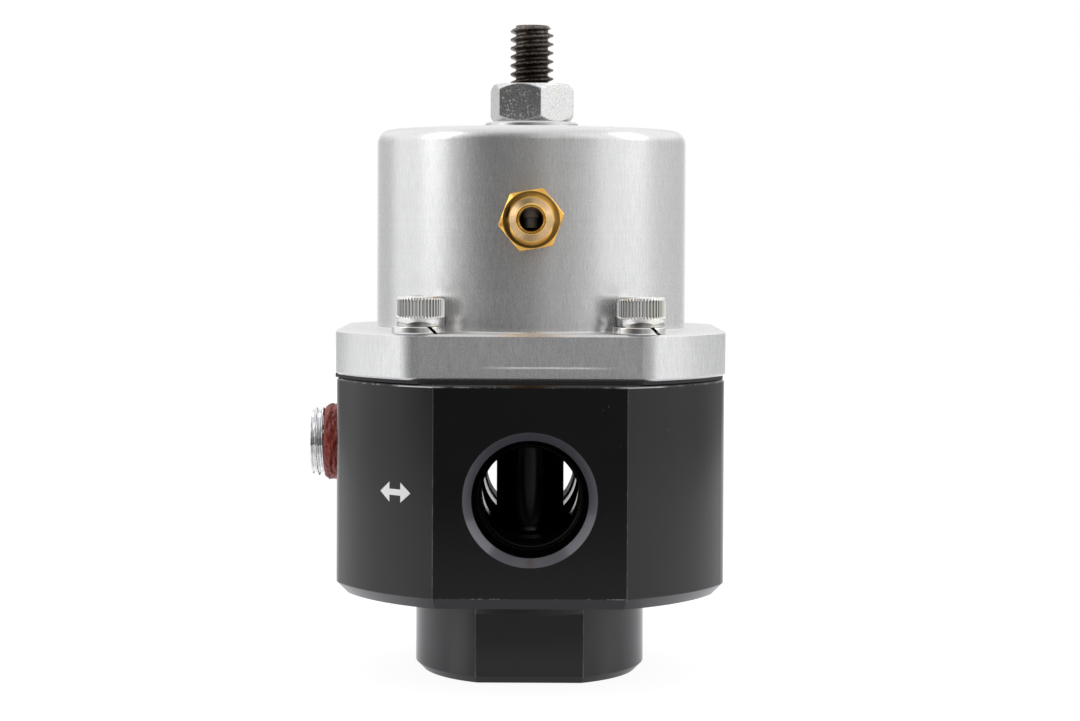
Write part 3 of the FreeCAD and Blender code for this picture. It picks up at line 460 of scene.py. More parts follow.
def zinc(name, mottle, roughness, edge):
    """Bright zinc plate: cloudy, slightly blue and yellow, with pits and a pale bloom where mottled."""
    s = Surface(name)
    t = s.tree
    cloud = s.grain(scale=380, detail=4, roughness=0.6)
    fine = s.grain(scale=3800, detail=3, roughness=0.65)
    plate = mix(t, contrast(t, s.grain(scale=160), 0.4), ZINC_COLD, ZINC_WARM)
    spots = ramp(t, fine, [(0.40, 1.0), (0.62, 0.0)])
    colour = mix(t, product(t, spots, mottle), plate, scaled(ZINC_COLD, 1 - 0.55 * mottle))
    rough = total(t, spread(t, cloud, roughness - 0.06, roughness + 0.06),
                  spread(t, fine, -0.03, 0.05 + 0.1 * mottle))
    pit = (0.012 + 0.03 * mottle) * MM
    normal = bump(t, fine, 0.12 + 1.2 * mottle, pit, soft_edges(t, edge))
    normal = bump(t, cloud, 0.15, 0.02 * MM, normal)
    bloom = ramp(t, s.grain(scale=2400, detail=4, roughness=0.7), [(0.55, 0.0), (0.63, 1.0)])
    patches = ramp(t, s.grain(scale=340), [(0.42, 0.15), (0.60, 1.0)])
    metallic = spread(t, product(t, bloom, patches), 1.0, 1.0 - 1.4 * mottle)
    return s.set(Base_Color=colour, Metallic=metallic, Roughness=rough, Normal=normal)


def plain_steel(name, base, roughness):
    """Satin machined metal with fine rings about the part's axis."""
    s = Surface(name)
    t = s.tree
    rings, _ = s.turned()
    lines = grain_of(t, rings, scale=6000)
    cloud = s.grain(scale=260, detail=3)
    colour = mix(t, contrast(t, cloud, 0.2), scaled(base, 0.82), base)
    rough = total(t, spread(t, lines, roughness - 0.06, roughness + 0.06), spread(t, cloud, -0.03, 0.03))
    normal = bump(t, lines, 0.25, 0.006 * MM, soft_edges(t, 0.08 * MM))
    return s.set(Base_Color=colour, Metallic=1.0, Roughness=rough, Normal=normal)


OXIDE_DARK, OXIDE_LIGHT = (0.028, 0.022, 0.018), (0.075, 0.062, 0.052)
OXIDE_DUST, OXIDE_RUBBED = (0.30, 0.26, 0.23), (0.22, 0.19, 0.16)

# Outside this radius the thread's crests are rubbed, and above these heights the screw is dusty
CREST_RADIUS = 3.08 * MM
DUST_FROM, DUST_FULL = SCREW_HIGH.z - 5.0 * MM, SCREW_HIGH.z - 2.0 * MM


def black_oxide():
    """Blackened steel, brownish, with rubbed crests and a dusty upper end."""
    s = Surface("black_oxide")
    t = s.tree
    cloud = s.grain(scale=620, detail=4, roughness=0.6)
    fine = s.grain(scale=4200, detail=3, roughness=0.6)
    colour = mix(t, contrast(t, cloud, 0.3), OXIDE_DARK, OXIDE_LIGHT)
    dusty = ramp(t, s.grain(scale=1700, detail=4, roughness=0.7), [(0.42, 0.1), (0.62, 1.0)])
    dusty = product(t, remap(t, s.z, DUST_FROM, DUST_FULL, 0.0, 0.5), dusty)
    colour = mix(t, dusty, colour, OXIDE_DUST)
    _, radius = s.turned()
    crest = window(t, radius, CREST_RADIUS, OUTSIDE, 0.05 * MM)
    rubbed = product(t, crest, ramp(t, fine, [(0.45, 0.0), (0.65, 0.6)]))
    colour = mix(t, rubbed, colour, OXIDE_RUBBED)
    rough = total(t, spread(t, cloud, 0.22, 0.34), spread(t, fine, -0.05, 0.05))
    return s.set(Base_Color=colour, Metallic=0.85, Roughness=rough, Normal=bump(t, fine, 0.35, 0.012 * MM))


BRASS_DEEP, BRASS_PALE = (0.74, 0.38, 0.075), (0.92, 0.57, 0.15)
BRASS_PAINTED_SHADE = (0.30, 0.13, 0.025)

# The painted shade near the rim of the barb's cove
SHADE_INNER, SHADE_OUTER = 3.25 * MM, 3.70 * MM


def turned_brass():
    """Turned brass with fine rings about the barb's axis and painted shade in its cove."""
    s = Surface("brass")
    t = s.tree
    rings, radius = s.turned(centre=(0, BARB_HEIGHT), axis="Y")
    lines = grain_of(t, rings, scale=7000)
    cloud = s.grain(scale=420, detail=3)
    colour = mix(t, contrast(t, cloud, 0.3), BRASS_DEEP, BRASS_PALE)
    cove_shade = window(t, radius, SHADE_INNER, SHADE_OUTER, 0.25 * MM)
    colour = mix(t, product(t, cove_shade, 0.55), colour, BRASS_PAINTED_SHADE)
    rough = total(t, spread(t, lines, 0.07, 0.12), spread(t, cloud, -0.02, 0.03))
    normal = bump(t, lines, 0.2, 0.006 * MM, soft_edges(t, 0.06 * MM))
    return s.set(Base_Color=colour, Metallic=1.0, Roughness=rough, Normal=normal)


SEALANT_DEEP, SEALANT_RED = (0.16, 0.012, 0.008), (0.36, 0.035, 0.018)
SEALANT_SKIN = (0.47, 0.13, 0.08)


def dried_sealant():
    """Red thread sealant, dried lumpy with a dull skin."""
    s = Surface("sealant")
    t = s.tree
    lumps = s.grain(scale=1500, detail=5, roughness=0.65)
    deep = mix(t, contrast(t, s.grain(scale=500, detail=3), 0.2), SEALANT_DEEP, SEALANT_RED)
    colour = mix(t, ramp(t, lumps, [(0.55, 0.0), (0.72, 1.0)]), deep, SEALANT_SKIN)
    rough = spread(t, lumps, 0.30, 0.55)
    return s.set(Base_Color=colour, Roughness=rough, Normal=bump(t, lumps, 0.9, 0.12 * MM))


WEAVE_SCALE = 400.0


def soft_rubber(name, base, weave=False):
    """Rubber, plain or reinforced with a woven fabric."""
    s = Surface(name)
    t = s.tree
    grain = s.grain(scale=3000, detail=3)
    colour = mix(t, grain, base, scaled(base, 1.6))
    height = grain
    if weave:
        strands = []
        for way in "XY":
            wave = add(t, "ShaderNodeTexWave", {"bands_direction": way}, Vector=s.place, Scale=WEAVE_SCALE)
            strands.append(wave.outputs["Fac"])
        height = total(t, largest(t, *strands), product(t, grain, 0.4))
    normal = bump(t, height, 0.4, 0.03 * MM)
    return s.set(Base_Color=colour, Roughness=spread(t, grain, 0.55, 0.75), Normal=normal)


INK_THIN, INK_FULL = (0.88, 0.88, 0.88), (0.96, 0.96, 0.96)


def white_print():
    """Screen printed white ink, slightly uneven."""
    s = Surface("print")
    t = s.tree
    grain = s.grain(scale=4000, detail=3)
    colour = mix(t, contrast(t, s.grain(scale=700), 0.2), INK_THIN, INK_FULL)
    normal = bump(t, grain, 0.2, 0.01 * MM)
    return s.set(Base_Color=colour, Roughness=spread(t, grain, 0.4, 0.55), Normal=normal)


def make_materials():
    return {
        "black_anodised": black_anodised(),
        "clear_anodised": turned_aluminium("clear_anodised", (0.80, 0.80, 0.81), 0.27, scratch=True),
        "inner_aluminium": turned_aluminium("inner_aluminium", (0.75, 0.75, 0.75), 0.30),
        "rubber": soft_rubber("rubber", (0.015, 0.015, 0.015)),
        "diaphragm_fabric": soft_rubber("diaphragm_fabric", (0.012, 0.012, 0.012), weave=True),
        "stainless": plain_steel("stainless", (0.66, 0.65, 0.63), 0.2),
        "spring_steel": plain_steel("spring_steel", (0.34, 0.34, 0.35), 0.3),
        "zinc_plate": zinc("zinc_plate", mottle=0.10, roughness=0.07, edge=0.03 * MM),
        "zinc_nut": zinc("zinc_nut", mottle=0.5, roughness=0.17, edge=0.25 * MM),
        "washer_steel": plain_steel("washer_steel", (0.74, 0.74, 0.75), 0.26),
        "black_oxide": black_oxide(),
        "brass": turned_brass(),
        "sealant": dried_sealant(),
        "print": white_print(),
    }


def finish_nodes(materials):
    """Give each carried-over node the material of its slot in the record."""
    slots = {row["node"]: row["material_slot"] for row in frame["record"]["subparts"]}
    for name, piece in NODES.items():
        piece.data.materials.clear()
        piece.data.materials.append(materials[slots[name]])


# Meshes made of rings of points, all with the same count

def hexagon_radius(across, angle):
    """Distance from the middle of a hexagon to its side at an angle, with a corner at angle 0."""
    sector = math.radians(60)
    turned = (angle + sector / 2) % sector - sector / 2
    return across / 2 / math.cos(sector / 2 - abs(turned))


def ring(radius_at, height, count):
    """Points round the Z axis, each as far out as the function says for its angle."""
    points = []
    for step in range(count):
        angle = 2 * math.pi * step / count
        radius = radius_at(angle)
        points.append(Vector((radius * math.cos(angle), radius * math.sin(angle), height)))
    return points


def lathe(profile, count):
    """Round rings along a profile of (radius, height) points."""
    return [ring(lambda angle, radius=radius: radius, height, count) for radius, height in profile]


def laid(place, degrees, axis):
    """Turns about an axis through the origin and then moves to a place."""
    return Matrix.Translation(place) @ Matrix.Rotation(math.radians(degrees), 4, axis)


def ring_mesh(bm, rings, lay=Matrix(), closed=False):
    """Quads between the laid rings. The first and last end in a fan, or meet each other where closed."""
    loops = [[bm.verts.new(lay @ point) for point in points] for points in rings]
    count = len(rings[0])
    pairs = list(zip(loops, loops[1:]))
    if closed:
        pairs.append((loops[-1], loops[0]))
    for lower, upper in pairs:
        for step in range(count):
            onward = (step + 1) % count
            bm.faces.new((lower[step], lower[onward], upper[onward], upper[step]))
    if not closed:
        for loop, turn in ((loops[0], -1), (loops[-1], 1)):
            middle = bm.verts.new(sum((vert.co for vert in loop), Vector()) / count)
            for step in range(count):
                corners = (loop[step], loop[(step + 1) % count], middle)
                bm.faces.new(corners[::turn])


def make_piece(name, bm, body, material, sharp):
    """A mesh object that rides on a body. Edges are sharp past the angle in degrees."""
    bm.normal_update()
    data = bpy.data.meshes.new(name)
    bm.to_mesh(data)
    bm.free()
    data.polygons.foreach_set("use_smooth", [True] * len(data.polygons))
    data.set_sharp_from_angle(angle=math.radians(sharp))
    data.materials.append(material)
    piece = bpy.data.objects.new(name, data)
    bpy.context.scene.collection.objects.link(piece)
    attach(piece, body)
    return piece


SOCKET_BEVEL = 0.12 * MM


def socket_rings(across, depth, top, count):
    """The rings of a hexagon socket sunk in a flat top, with a small bevel at its rim."""
    def wider(extra):
        return lambda angle: hexagon_radius(across, angle) + extra
    return [
        ring(wider(SOCKET_BEVEL), top, count),
        ring(wider(0), top - SOCKET_BEVEL, count),
        ring(wider(0), top - depth, count),
    ]


# Threads

THREAD_COLUMNS = 72
ROWS_PER_PITCH = 16

# Half widths of the thread's crest and of all but its root, as shares of half a pitch
THREAD_CREST, THREAD_ROOT = 0.16, 0.76
THREAD_ROUNDING = 0.35


def turns_at(along, angle, pitch):
    """How many turns a right-hand thread has made at a place along its axis and an angle about it."""
    return along / pitch - angle / (2 * math.pi)


def thread_height(turns):
    """The thread's profile over one pitch: 0 in the root, 1 on the crest, with rounded flanks."""
    distance = abs(turns % 1.0 - 0.5) * 2
    if distance <= THREAD_CREST:
        return 1.0
    if distance >= THREAD_ROOT:
        return 0.0
    share = (THREAD_ROOT - distance) / (THREAD_ROOT - THREAD_CREST)
    rounded = share * share * (3 - 2 * share)
    return rounded * THREAD_ROUNDING + share * (1 - THREAD_ROUNDING)


def thread_rings(radius_at, start, end, pitch):
    """Rings between two places along a thread, close enough together for its flanks."""
    rows = round((end - start) / pitch * ROWS_PER_PITCH)
    places = [start + (end - start) * row / rows for row in range(rows + 1)]
    return [ring(radius_at(place), place, THREAD_COLUMNS) for place in places]


SCREW_PITCH = 1.27 * MM
SCREW_THREAD_DEPTH = 0.80 * MM
SCREW_CHAMFER = 0.75 * MM
SCREW_SOCKET = 3.18 * MM
SCREW_SOCKET_DEPTH = 3.2 * MM

# Part of a turn that brings the thread's crests to where the photo has them
SCREW_PHASE = 0.62


def make_adjusting_screw(material):
    """The set screw with its real helical thread, right-hand, and its hexagon socket."""
    low, high = SCREW_LOW.z, SCREW_HIGH.z
    crest = SCREW_HIGH.x

    def radius_at(height):
        limit = crest - SCREW_CHAMFER + min(height - low, high - height)

        def radius(angle):
            turns = turns_at(height - high, angle, SCREW_PITCH) + SCREW_PHASE
            return min(crest - SCREW_THREAD_DEPTH * (1 - thread_height(turns)), limit)
        return radius

    rings = thread_rings(radius_at, low, high, SCREW_PITCH)
    rings += socket_rings(SCREW_SOCKET, SCREW_SOCKET_DEPTH, high, THREAD_COLUMNS)
    bm = bmesh.new()
    ring_mesh(bm, rings)
    piece = make_piece("adjusting_screw_threaded", bm, "adjuster", material, sharp=50)
    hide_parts("adjusting_screw")


PLUG_PITCH = 0.94 * MM
PLUG_THREAD_DEPTH = 0.5 * MM
PLUG_TAPER = 0.03125
PLUG_EDGE = 0.45 * MM
PLUG_SOCKET = 4.76 * MM
PLUG_SOCKET_DEPTH = 4.2 * MM


def make_plug(material):
    """The tapered pipe plug with its fine thread and hexagon socket."""
    inner, face = -PLUG_HIGH.x, -PLUG_LOW.x
    crest = (PLUG_HIGH.y - PLUG_LOW.y) / 2
    lay = laid((0, 0, (PLUG_LOW.z + PLUG_HIGH.z) / 2), -90, "Y")

    def radius_at(along):
        taper = crest - PLUG_TAPER * (face - PLUG_EDGE - along)
        limit = crest - PLUG_EDGE + (face - along)

        def radius(angle):
            turns = turns_at(along, angle, PLUG_PITCH)
            return min(taper - PLUG_THREAD_DEPTH * (1 - thread_height(turns)), limit)
        return radius

    rings = thread_rings(radius_at, inner, face, PLUG_PITCH)
    rings += socket_rings(PLUG_SOCKET, PLUG_SOCKET_DEPTH, face, THREAD_COLUMNS)
    bm = bmesh.new()
    ring_mesh(bm, rings, lay)
    piece = make_piece("gauge_port_plug_threaded", bm, "housing", material, sharp=50)
    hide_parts("gauge_port_plug")


PORT_PITCH = 1.5 * MM
PORT_THREAD_DEPTH = 0.45 * MM
LINER_WALL = 0.02 * MM

# Depth of a port's thread from its face, and of the spot face round the return port
PORT_DEPTH = 13.0 * MM
SPOT_FACE_DEPTH = 0.8 * MM

# Share of a pitch over which the thread rises at its inner end
THREAD_RUN_IN = 0.25


def make_port_threads(material):
    """The internal threads of the three ports, as thin liners against their walls."""
    through = -BODY_LOW.y - PORT_DEPTH
    below = -(PORT_DEPTH + SPOT_FACE_DEPTH)
    for name, degrees, height, start in (
        ("front", 90, PORT_HEIGHT, through),
        ("back", -90, PORT_HEIGHT, through),
        ("return", 180, 0, below),
    ):
        lay = laid((0, 0, height), degrees, "X")
        make_liner(f"{name}_port_thread", lay, start, start + PORT_LENGTH, material)


def make_liner(name, lay, start, end, material):
    """An internal thread between two places along its own axis."""
    def radius_at(along):
        room = min(1.0, (end - along) / PORT_PITCH, (along - start) / (PORT_PITCH * THREAD_RUN_IN))

        def radius(angle):
            height = thread_height(turns_at(along, angle, PORT_PITCH)) * max(room, 0.0)
            return PORT_RADIUS - LINER_WALL * 2 - PORT_THREAD_DEPTH * height
        return radius

    inside = thread_rings(radius_at, start, end, PORT_PITCH)
    wall = PORT_RADIUS - LINER_WALL
    outside = lathe([(wall, end), (wall, start)], THREAD_COLUMNS)
    bm = bmesh.new()
    ring_mesh(bm, inside + outside, lay, closed=True)
    bmesh.ops.reverse_faces(bm, faces=bm.faces)
    make_piece(name, bm, "housing", material, sharp=60)


# Cap screws

KNURL_TEETH = 44
KNURL_STEPS = 8
KNURL_DEPTH = 0.21 * MM
HEAD_ROUND = 0.55 * MM
HEAD_ROWS = 6
HEAD_FOOT = 1.1 * MM
HEAD_FOOT_STEP = 0.12 * MM
HEAD_FOOT_BEVEL = 0.12 * MM

# The small fillet from the head's foot to its knurl: its start and end below it, and its step out
FILLET_FROM, FILLET_END, FILLET_OUT = 0.10 * MM, 0.02 * MM, 0.04 * MM

CAP_SOCKET = 3.57 * MM
CAP_SOCKET_DEPTH = 2.2 * MM
CAP_SHANK = 2.08 * MM
CAP_SHANK_END = 0.55 * MM
CAP_HEAD_RADIUS = 3.43 * MM
CAP_HEAD_HEIGHT = 4.17 * MM

# How the knurl begins: height above the head's foot, how much narrower the head is, share of the full depth
KNURL_START = ((0.05 * MM, 0.03 * MM, 0.0), (0.14 * MM, 0, 0.25), (0.24 * MM, 0, 0.8), (0.36 * MM, 0, 1.0))

# Rows over which the knurl runs out in the rounded rim
KNURL_OUT_ROWS = 2

# Turn of the first screw in degrees, and the step to each next one
CAP_TURN, CAP_TURN_STEP = 17, 41


def knurled(radius, share):
    """A ring's radius with a share of the knurl's depth: rounded teeth with narrow grooves."""
    return lambda angle: radius - share * KNURL_DEPTH * (1 - abs(math.sin(KNURL_TEETH * angle / 2)))


def cap_screw_rings(count):
    """One socket head cap screw with its seat at height 0: shank, smooth foot, knurl, rounded top."""
    head = CAP_HEAD_RADIUS
    foot = head - HEAD_FOOT_STEP
    shank_end = CAPS_LOW.z - CAPS_HIGH.z + CAP_HEAD_HEIGHT
    rings = lathe([
        (CAP_SHANK - CAP_SHANK_END, shank_end),
        (CAP_SHANK, shank_end + CAP_SHANK_END),
        (CAP_SHANK, 0),
        (foot - HEAD_FOOT_BEVEL, 0),
        (foot, HEAD_FOOT_BEVEL),
        (foot, HEAD_FOOT - FILLET_FROM),
        (foot + FILLET_OUT, HEAD_FOOT - FILLET_END),
    ], count)
    for rise, narrower, share in KNURL_START:
        rings.append(ring(knurled(head - narrower, share), HEAD_FOOT + rise, count))
    start = HEAD_FOOT + KNURL_START[-1][0]
    straight = CAP_HEAD_HEIGHT - HEAD_ROUND
    for row in range(1, HEAD_ROWS + 1):
        rings.append(ring(knurled(head, 1.0), start + (straight - start) * row / HEAD_ROWS, count))
    for row in range(1, HEAD_ROWS + 1):
        lean = math.radians(90) * row / HEAD_ROWS
        radius = head - HEAD_ROUND * (1 - math.cos(lean))
        share = max(0.0, 1.0 - row / KNURL_OUT_ROWS)
        rings.append(ring(knurled(radius, share), straight + HEAD_ROUND * math.sin(lean), count))
    return rings + socket_rings(CAP_SOCKET, CAP_SOCKET_DEPTH, CAP_HEAD_HEIGHT, count)


def make_cap_screws(material):
    """The four knurled cap screws, each turned to its own angle."""
    seat = CAPS_HIGH.z - CAP_HEAD_HEIGHT
    reach_x = CAPS_HIGH.x - CAP_HEAD_RADIUS
    reach_y = CAPS_HIGH.y - CAP_HEAD_RADIUS
    bm = bmesh.new()
    base = cap_screw_rings(KNURL_TEETH * KNURL_STEPS)
    for number, (side, face) in enumerate(((-1, -1), (1, -1), (-1, 1), (1, 1))):
        place = (side * reach_x, face * reach_y, seat)
        ring_mesh(bm, base, laid(place, CAP_TURN + CAP_TURN_STEP * number, "Z"))
    piece = make_piece("cap_screws_knurled", bm, "housing", material, sharp=40)
    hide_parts("cap_screws")


# Sealant

SEALANT_COLUMNS = 180
SEALANT_ROWS = 22

# How deep it reaches into the plug's thread, its thinnest skin, and how far its rim draws back
SEALANT_BITE = 0.25 * MM
SEALANT_LEAST = 0.02 * MM
SEALANT_RIM = 0.25 * MM

# Sizes of its lumps, of the grit on them and of its rim's waves
SEALANT_LUMP, SEALANT_GRIT, SEALANT_WAVE = 1.6 * MM, 0.6 * MM, 0.9 * MM

# Its mean height and the lumps' and the grit's part in it, as shares of its room
SEALANT_MEAN, LUMP_SHARE, GRIT_SHARE = 0.72, 0.25, 0.175

# Its unseen inner wall: how far inside its hole, and how far behind the outer rim
SEALANT_BACK, SEALANT_BACK_FROM = 0.05 * MM, 0.5 * MM


def make_sealant(material):
    """Sealant squeezed out in uneven lumps between the plug and the body."""
    inner, outer = -SEALANT_HIGH.x, -SEALANT_LOW.x
    crest = (SEALANT_HIGH.y - SEALANT_LOW.y) / 2
    hole = (PLUG_HIGH.y - PLUG_LOW.y) / 2 - SEALANT_BITE
    full = crest - hole
    lay = laid((0, 0, (SEALANT_LOW.z + SEALANT_HIGH.z) / 2), -90, "Y")

    def lump(angle, along, size):
        return noise.noise(Vector((math.cos(angle), math.sin(angle), along / size)) * (crest / size))

    rings = []
    for row in range(SEALANT_ROWS + 1):
        share = row / SEALANT_ROWS
        bulge = 1 - (2 * share - 1) ** 4
        along = inner + (outer - inner) * share

        def radius(angle, along=along, bulge=bulge):
            rough = LUMP_SHARE * lump(angle, along, SEALANT_LUMP)
            rough += GRIT_SHARE * lump(angle + 2, along, SEALANT_GRIT)
            height = full * (SEALANT_MEAN + rough) * bulge
            return hole + min(max(height, SEALANT_LEAST), full)
        rings.append(ring(radius, along, SEALANT_COLUMNS))
    for point in rings[-1]:
        angle = math.atan2(point.y, point.x)
        point.z -= SEALANT_RIM * (1 + lump(angle, 0, SEALANT_WAVE))
    back = hole - SEALANT_BACK
    rings += lathe([(back, outer - SEALANT_BACK_FROM), (back, inner)], SEALANT_COLUMNS)
    bm = bmesh.new()
    ring_mesh(bm, rings, lay, closed=True)
    piece = make_piece("plug_sealant_lumps", bm, "housing", material, sharp=80)
    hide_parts("plug_sealant")


# The print on the body's left front: a plain arrow with a head at each end
PRINT_LIFT = 0.015 * MM
PRINT_ANGLE = math.radians(-38.3)
PRINT_HEIGHT = 28.2 * MM
ARROW_HALF = 2.75 * MM
ARROW_HEAD = 1.7 * MM
ARROW_HEAD_HALF = 1.35 * MM
ARROW_SHAFT_HALF = 0.42 * MM
PRINT_CELLS = 44


def make_print(material):
    """A double-headed arrow laid on the body's round side, in narrow upright cells."""
    bm = bmesh.new()
    corners = {}

    def corner(across, up):
        if (across, up) not in corners:
            angle = PRINT_ANGLE + across / BODY_RADIUS
            radius = BODY_RADIUS + PRINT_LIFT
            point = Vector((radius * math.sin(angle), -radius * math.cos(angle), PRINT_HEIGHT + up))
            corners[across, up] = bm.verts.new(point)
        return corners[across, up]

    def head_half(across):
        return ARROW_HEAD_HALF * (ARROW_HALF - abs(across)) / ARROW_HEAD

    shoulder = ARROW_HALF - ARROW_HEAD
    stations = [-ARROW_HALF + 2 * ARROW_HALF * step / PRINT_CELLS for step in range(PRINT_CELLS + 1)]
    for first, second in zip(stations, stations[1:]):
        half_first = half_second = ARROW_SHAFT_HALF
        if abs(first + second) / 2 >= shoulder:
            half_first, half_second = head_half(first), head_half(second)
        low_first, low_second = corner(first, -half_first), corner(second, -half_second)
        top_second, top_first = corner(second, half_second), corner(first, half_first)
        points = [low_first, low_second, top_second, top_first]
        distinct = [point for index, point in enumerate(points) if point not in points[:index]]
        if len(distinct) > 2:
            bm.faces.new(distinct)
    make_piece("flow_arrow_print", bm, "housing", material, sharp=80)


# Hose barb

BONNET_RADIUS = 22.65 * MM
BARB_HEX_ACROSS = 7.94 * MM
BARB_HEX_THICKNESS = 4.8 * MM
BARB_HEX_BEVEL = 0.5 * MM
BARB_HEX_TURN = math.radians(9.4)
BARB_THREAD_RADIUS = 2.35 * MM
BARB_THREAD_BEVEL = 0.3 * MM
BARB_NECK_RADIUS = 2.05 * MM
BARB_COVE = 1.8 * MM
BARB_COVE_LAND = 0.04 * MM
BARB_RIDGE_RADIUS = 2.92 * MM
BARB_RIDGE_STEP = 0.3 * MM
BARB_RIDGE_IN, BARB_RIDGE_UP = 0.05 * MM, 0.04 * MM
BARB_TIP_RADIUS = 2.1 * MM
BARB_TIP_ROUND = 0.22 * MM
BARB_BORE_RADIUS = 1.57 * MM
BARB_BORE_EDGE = 0.2 * MM
BARB_COLUMNS = 144
ARC_STEPS, SLOPE_STEPS, TIP_STEPS = 12, 6, 5


def arc(centre, radius, start, end, steps):
    """Points (radius, height) on an arc of a profile, from one angle in degrees to another."""
    angles = [math.radians(start + (end - start) * step / steps) for step in range(steps + 1)]
    return [(centre[0] + radius * math.cos(a), centre[1] + radius * math.sin(a)) for a in angles]


def barb_hexagon(rim):
    """The hexagon's rings from its seat to its bevelled face, whose corners end at the cove's rim."""
    corner = BARB_HEX_ACROSS / math.sqrt(3)

    def hexagon(limit):
        return lambda angle: min(hexagon_radius(BARB_HEX_ACROSS, angle - BARB_HEX_TURN), limit)

    rings = [ring(hexagon(corner), 0.0, BARB_COLUMNS)]
    for step in range(ARC_STEPS + 1):
        share = step / ARC_STEPS
        limit = corner - (corner - rim - BARB_COVE_LAND) * share
        rings.append(ring(hexagon(limit), BARB_HEX_THICKNESS - BARB_HEX_BEVEL * (1 - share), BARB_COLUMNS))
    return rings


def barb_ridge(start, end, end_radius):
    """One ridge of the barb: a step out to its crest, and a long slope down to its end."""
    crest = start + BARB_RIDGE_STEP
    outline = [(BARB_RIDGE_RADIUS - BARB_RIDGE_IN, crest - BARB_RIDGE_UP), (BARB_RIDGE_RADIUS, crest)]
    for step in range(1, SLOPE_STEPS + 1):
        share = step / SLOPE_STEPS
        radius = BARB_RIDGE_RADIUS + (end_radius - BARB_RIDGE_RADIUS) * share
        outline.append((radius, crest + (end - crest) * share))
    return outline


def make_barb(material):
    """The hose barb. Its hexagon's face is hollowed in one smooth cove up to the neck."""
    seat = -BONNET_RADIUS
    inner, tip = seat - BARB_HIGH.y, seat - BARB_LOW.y
    neck_end = BARB_HEX_THICKNESS + BARB_COVE
    ridge = (tip - neck_end) / 2
    rim = BARB_NECK_RADIUS + BARB_COVE
    thread = [
        (BARB_THREAD_RADIUS - BARB_THREAD_BEVEL, inner),
        (BARB_THREAD_RADIUS, inner + BARB_THREAD_BEVEL),
        (BARB_THREAD_RADIUS, 0.0),
    ]
    outline = arc((rim, neck_end), BARB_COVE, -90, -180, ARC_STEPS)
    outline += barb_ridge(neck_end, neck_end + ridge, BARB_NECK_RADIUS)
    outline += barb_ridge(neck_end + ridge, neck_end + 2 * ridge - BARB_TIP_ROUND, BARB_TIP_RADIUS)
    tip_centre = (BARB_TIP_RADIUS - BARB_TIP_ROUND, tip - BARB_TIP_ROUND)
    outline += arc(tip_centre, BARB_TIP_ROUND, 0, 90, TIP_STEPS)[1:]
    outline += [
        (BARB_BORE_RADIUS + BARB_BORE_EDGE, tip),
        (BARB_BORE_RADIUS, tip - BARB_BORE_EDGE),
        (BARB_BORE_RADIUS, inner),
    ]
    rings = lathe(thread, BARB_COLUMNS) + barb_hexagon(rim) + lathe(outline, BARB_COLUMNS)
    bm = bmesh.new()
    ring_mesh(bm, rings, laid((0, seat, BARB_HEIGHT), 90, "X"), closed=True)
    piece = make_piece("vacuum_fitting_coved", bm, "housing", material, sharp=30)
    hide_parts("vacuum_fitting")


def make_main_spring(material):
    """The main spring, a copy of its node's mesh that rides on the valve stack."""
    bm = bmesh.new()
    bm.from_mesh(NODES["main_spring"].data)
    piece = make_piece("main_spring_coil", bm, "valve_stack", material, sharp=60)
    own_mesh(piece)
    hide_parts("main_spring")


# The floor: its sides, where its glow fades out, and the darker strip ahead of the part
FLOOR_SIDE = 0.28
FLOOR_FRONT, FLOOR_BACK = -0.17, 0.9
GLOW = 0.42
GLOW_FULL, GLOW_END = 0.06, 0.17
STRIP_GLOW = 0.15
STRIP_FROM, STRIP_END = -0.05, -0.03
BESIDE_FROM, BESIDE_FULL = 0.03, 0.12
BEHIND_FROM, BEHIND_FULL = 0.03, 0.10
PAPER, SHEEN = (0.60, 0.61, 0.65, 1), (0.9, 0.9, 0.92, 1)
SHEEN_SHARE, SHEEN_ROUGHNESS = 0.5, 0.2
GLOW_COLOUR = (0.96, 0.97, 1, 1)

# The floor as the camera sees it: a little paint that takes the shadow, and an even glow
SHADOW_PAINT = (0.16, 0.16, 0.16, 1)
SEEN_GLOW = 0.92


def floor_material():
    """Pale paper with a sheen and a glow near the part. For the camera it is near white with a shadow."""
    material = bpy.data.materials.new("floor")
    material.use_nodes = True
    t = material.node_tree
    t.nodes.clear()
    place = add(t, "ShaderNodeTexCoord").outputs["Object"]
    distance = add(t, "ShaderNodeVectorMath", {"operation": "LENGTH"}, i0=place).outputs["Value"]
    x, y, _ = add(t, "ShaderNodeSeparateXYZ", i0=place).outputs
    near = remap(t, distance, GLOW_FULL, GLOW_END, GLOW, 0.0, smooth=True)
    beside = remap(t, math_node(t, "ABSOLUTE", x), BESIDE_FROM, BESIDE_FULL, 0.0, 1.0, smooth=True)
    strip = remap(t, y, STRIP_FROM, STRIP_END, STRIP_GLOW, 1.0, smooth=True)
    behind = remap(t, y, BEHIND_FROM, BEHIND_FULL, 0.0, 1.0, smooth=True)
    paper = add(t, "ShaderNodeBsdfDiffuse", Color=PAPER).outputs[0]
    sheen = add(t, "ShaderNodeBsdfGlossy", Color=SHEEN, Roughness=SHEEN_ROUGHNESS).outputs[0]
    surface = add(t, "ShaderNodeMixShader", i0=SHEEN_SHARE, i1=paper, i2=sheen).outputs[0]
    strength = product(t, near, largest(t, strip, beside))
    glow = add(t, "ShaderNodeEmission", Color=GLOW_COLOUR, Strength=strength).outputs[0]
    table = add(t, "ShaderNodeAddShader", i0=surface, i1=glow).outputs[0]
    paint = add(t, "ShaderNodeBsdfDiffuse", Color=SHADOW_PAINT).outputs[0]
    even = add(t, "ShaderNodeEmission", Color=(*WHITE, 1), Strength=SEEN_GLOW).outputs[0]
    seen = add(t, "ShaderNodeAddShader", i0=paint, i1=even).outputs[0]
    shown = shown_white(t, largest(t, beside, behind))
    blend = add(t, "ShaderNodeMixShader", i0=shown, i1=table, i2=seen).outputs[0]
    add(t, "ShaderNodeOutputMaterial", Surface=blend)
    return material


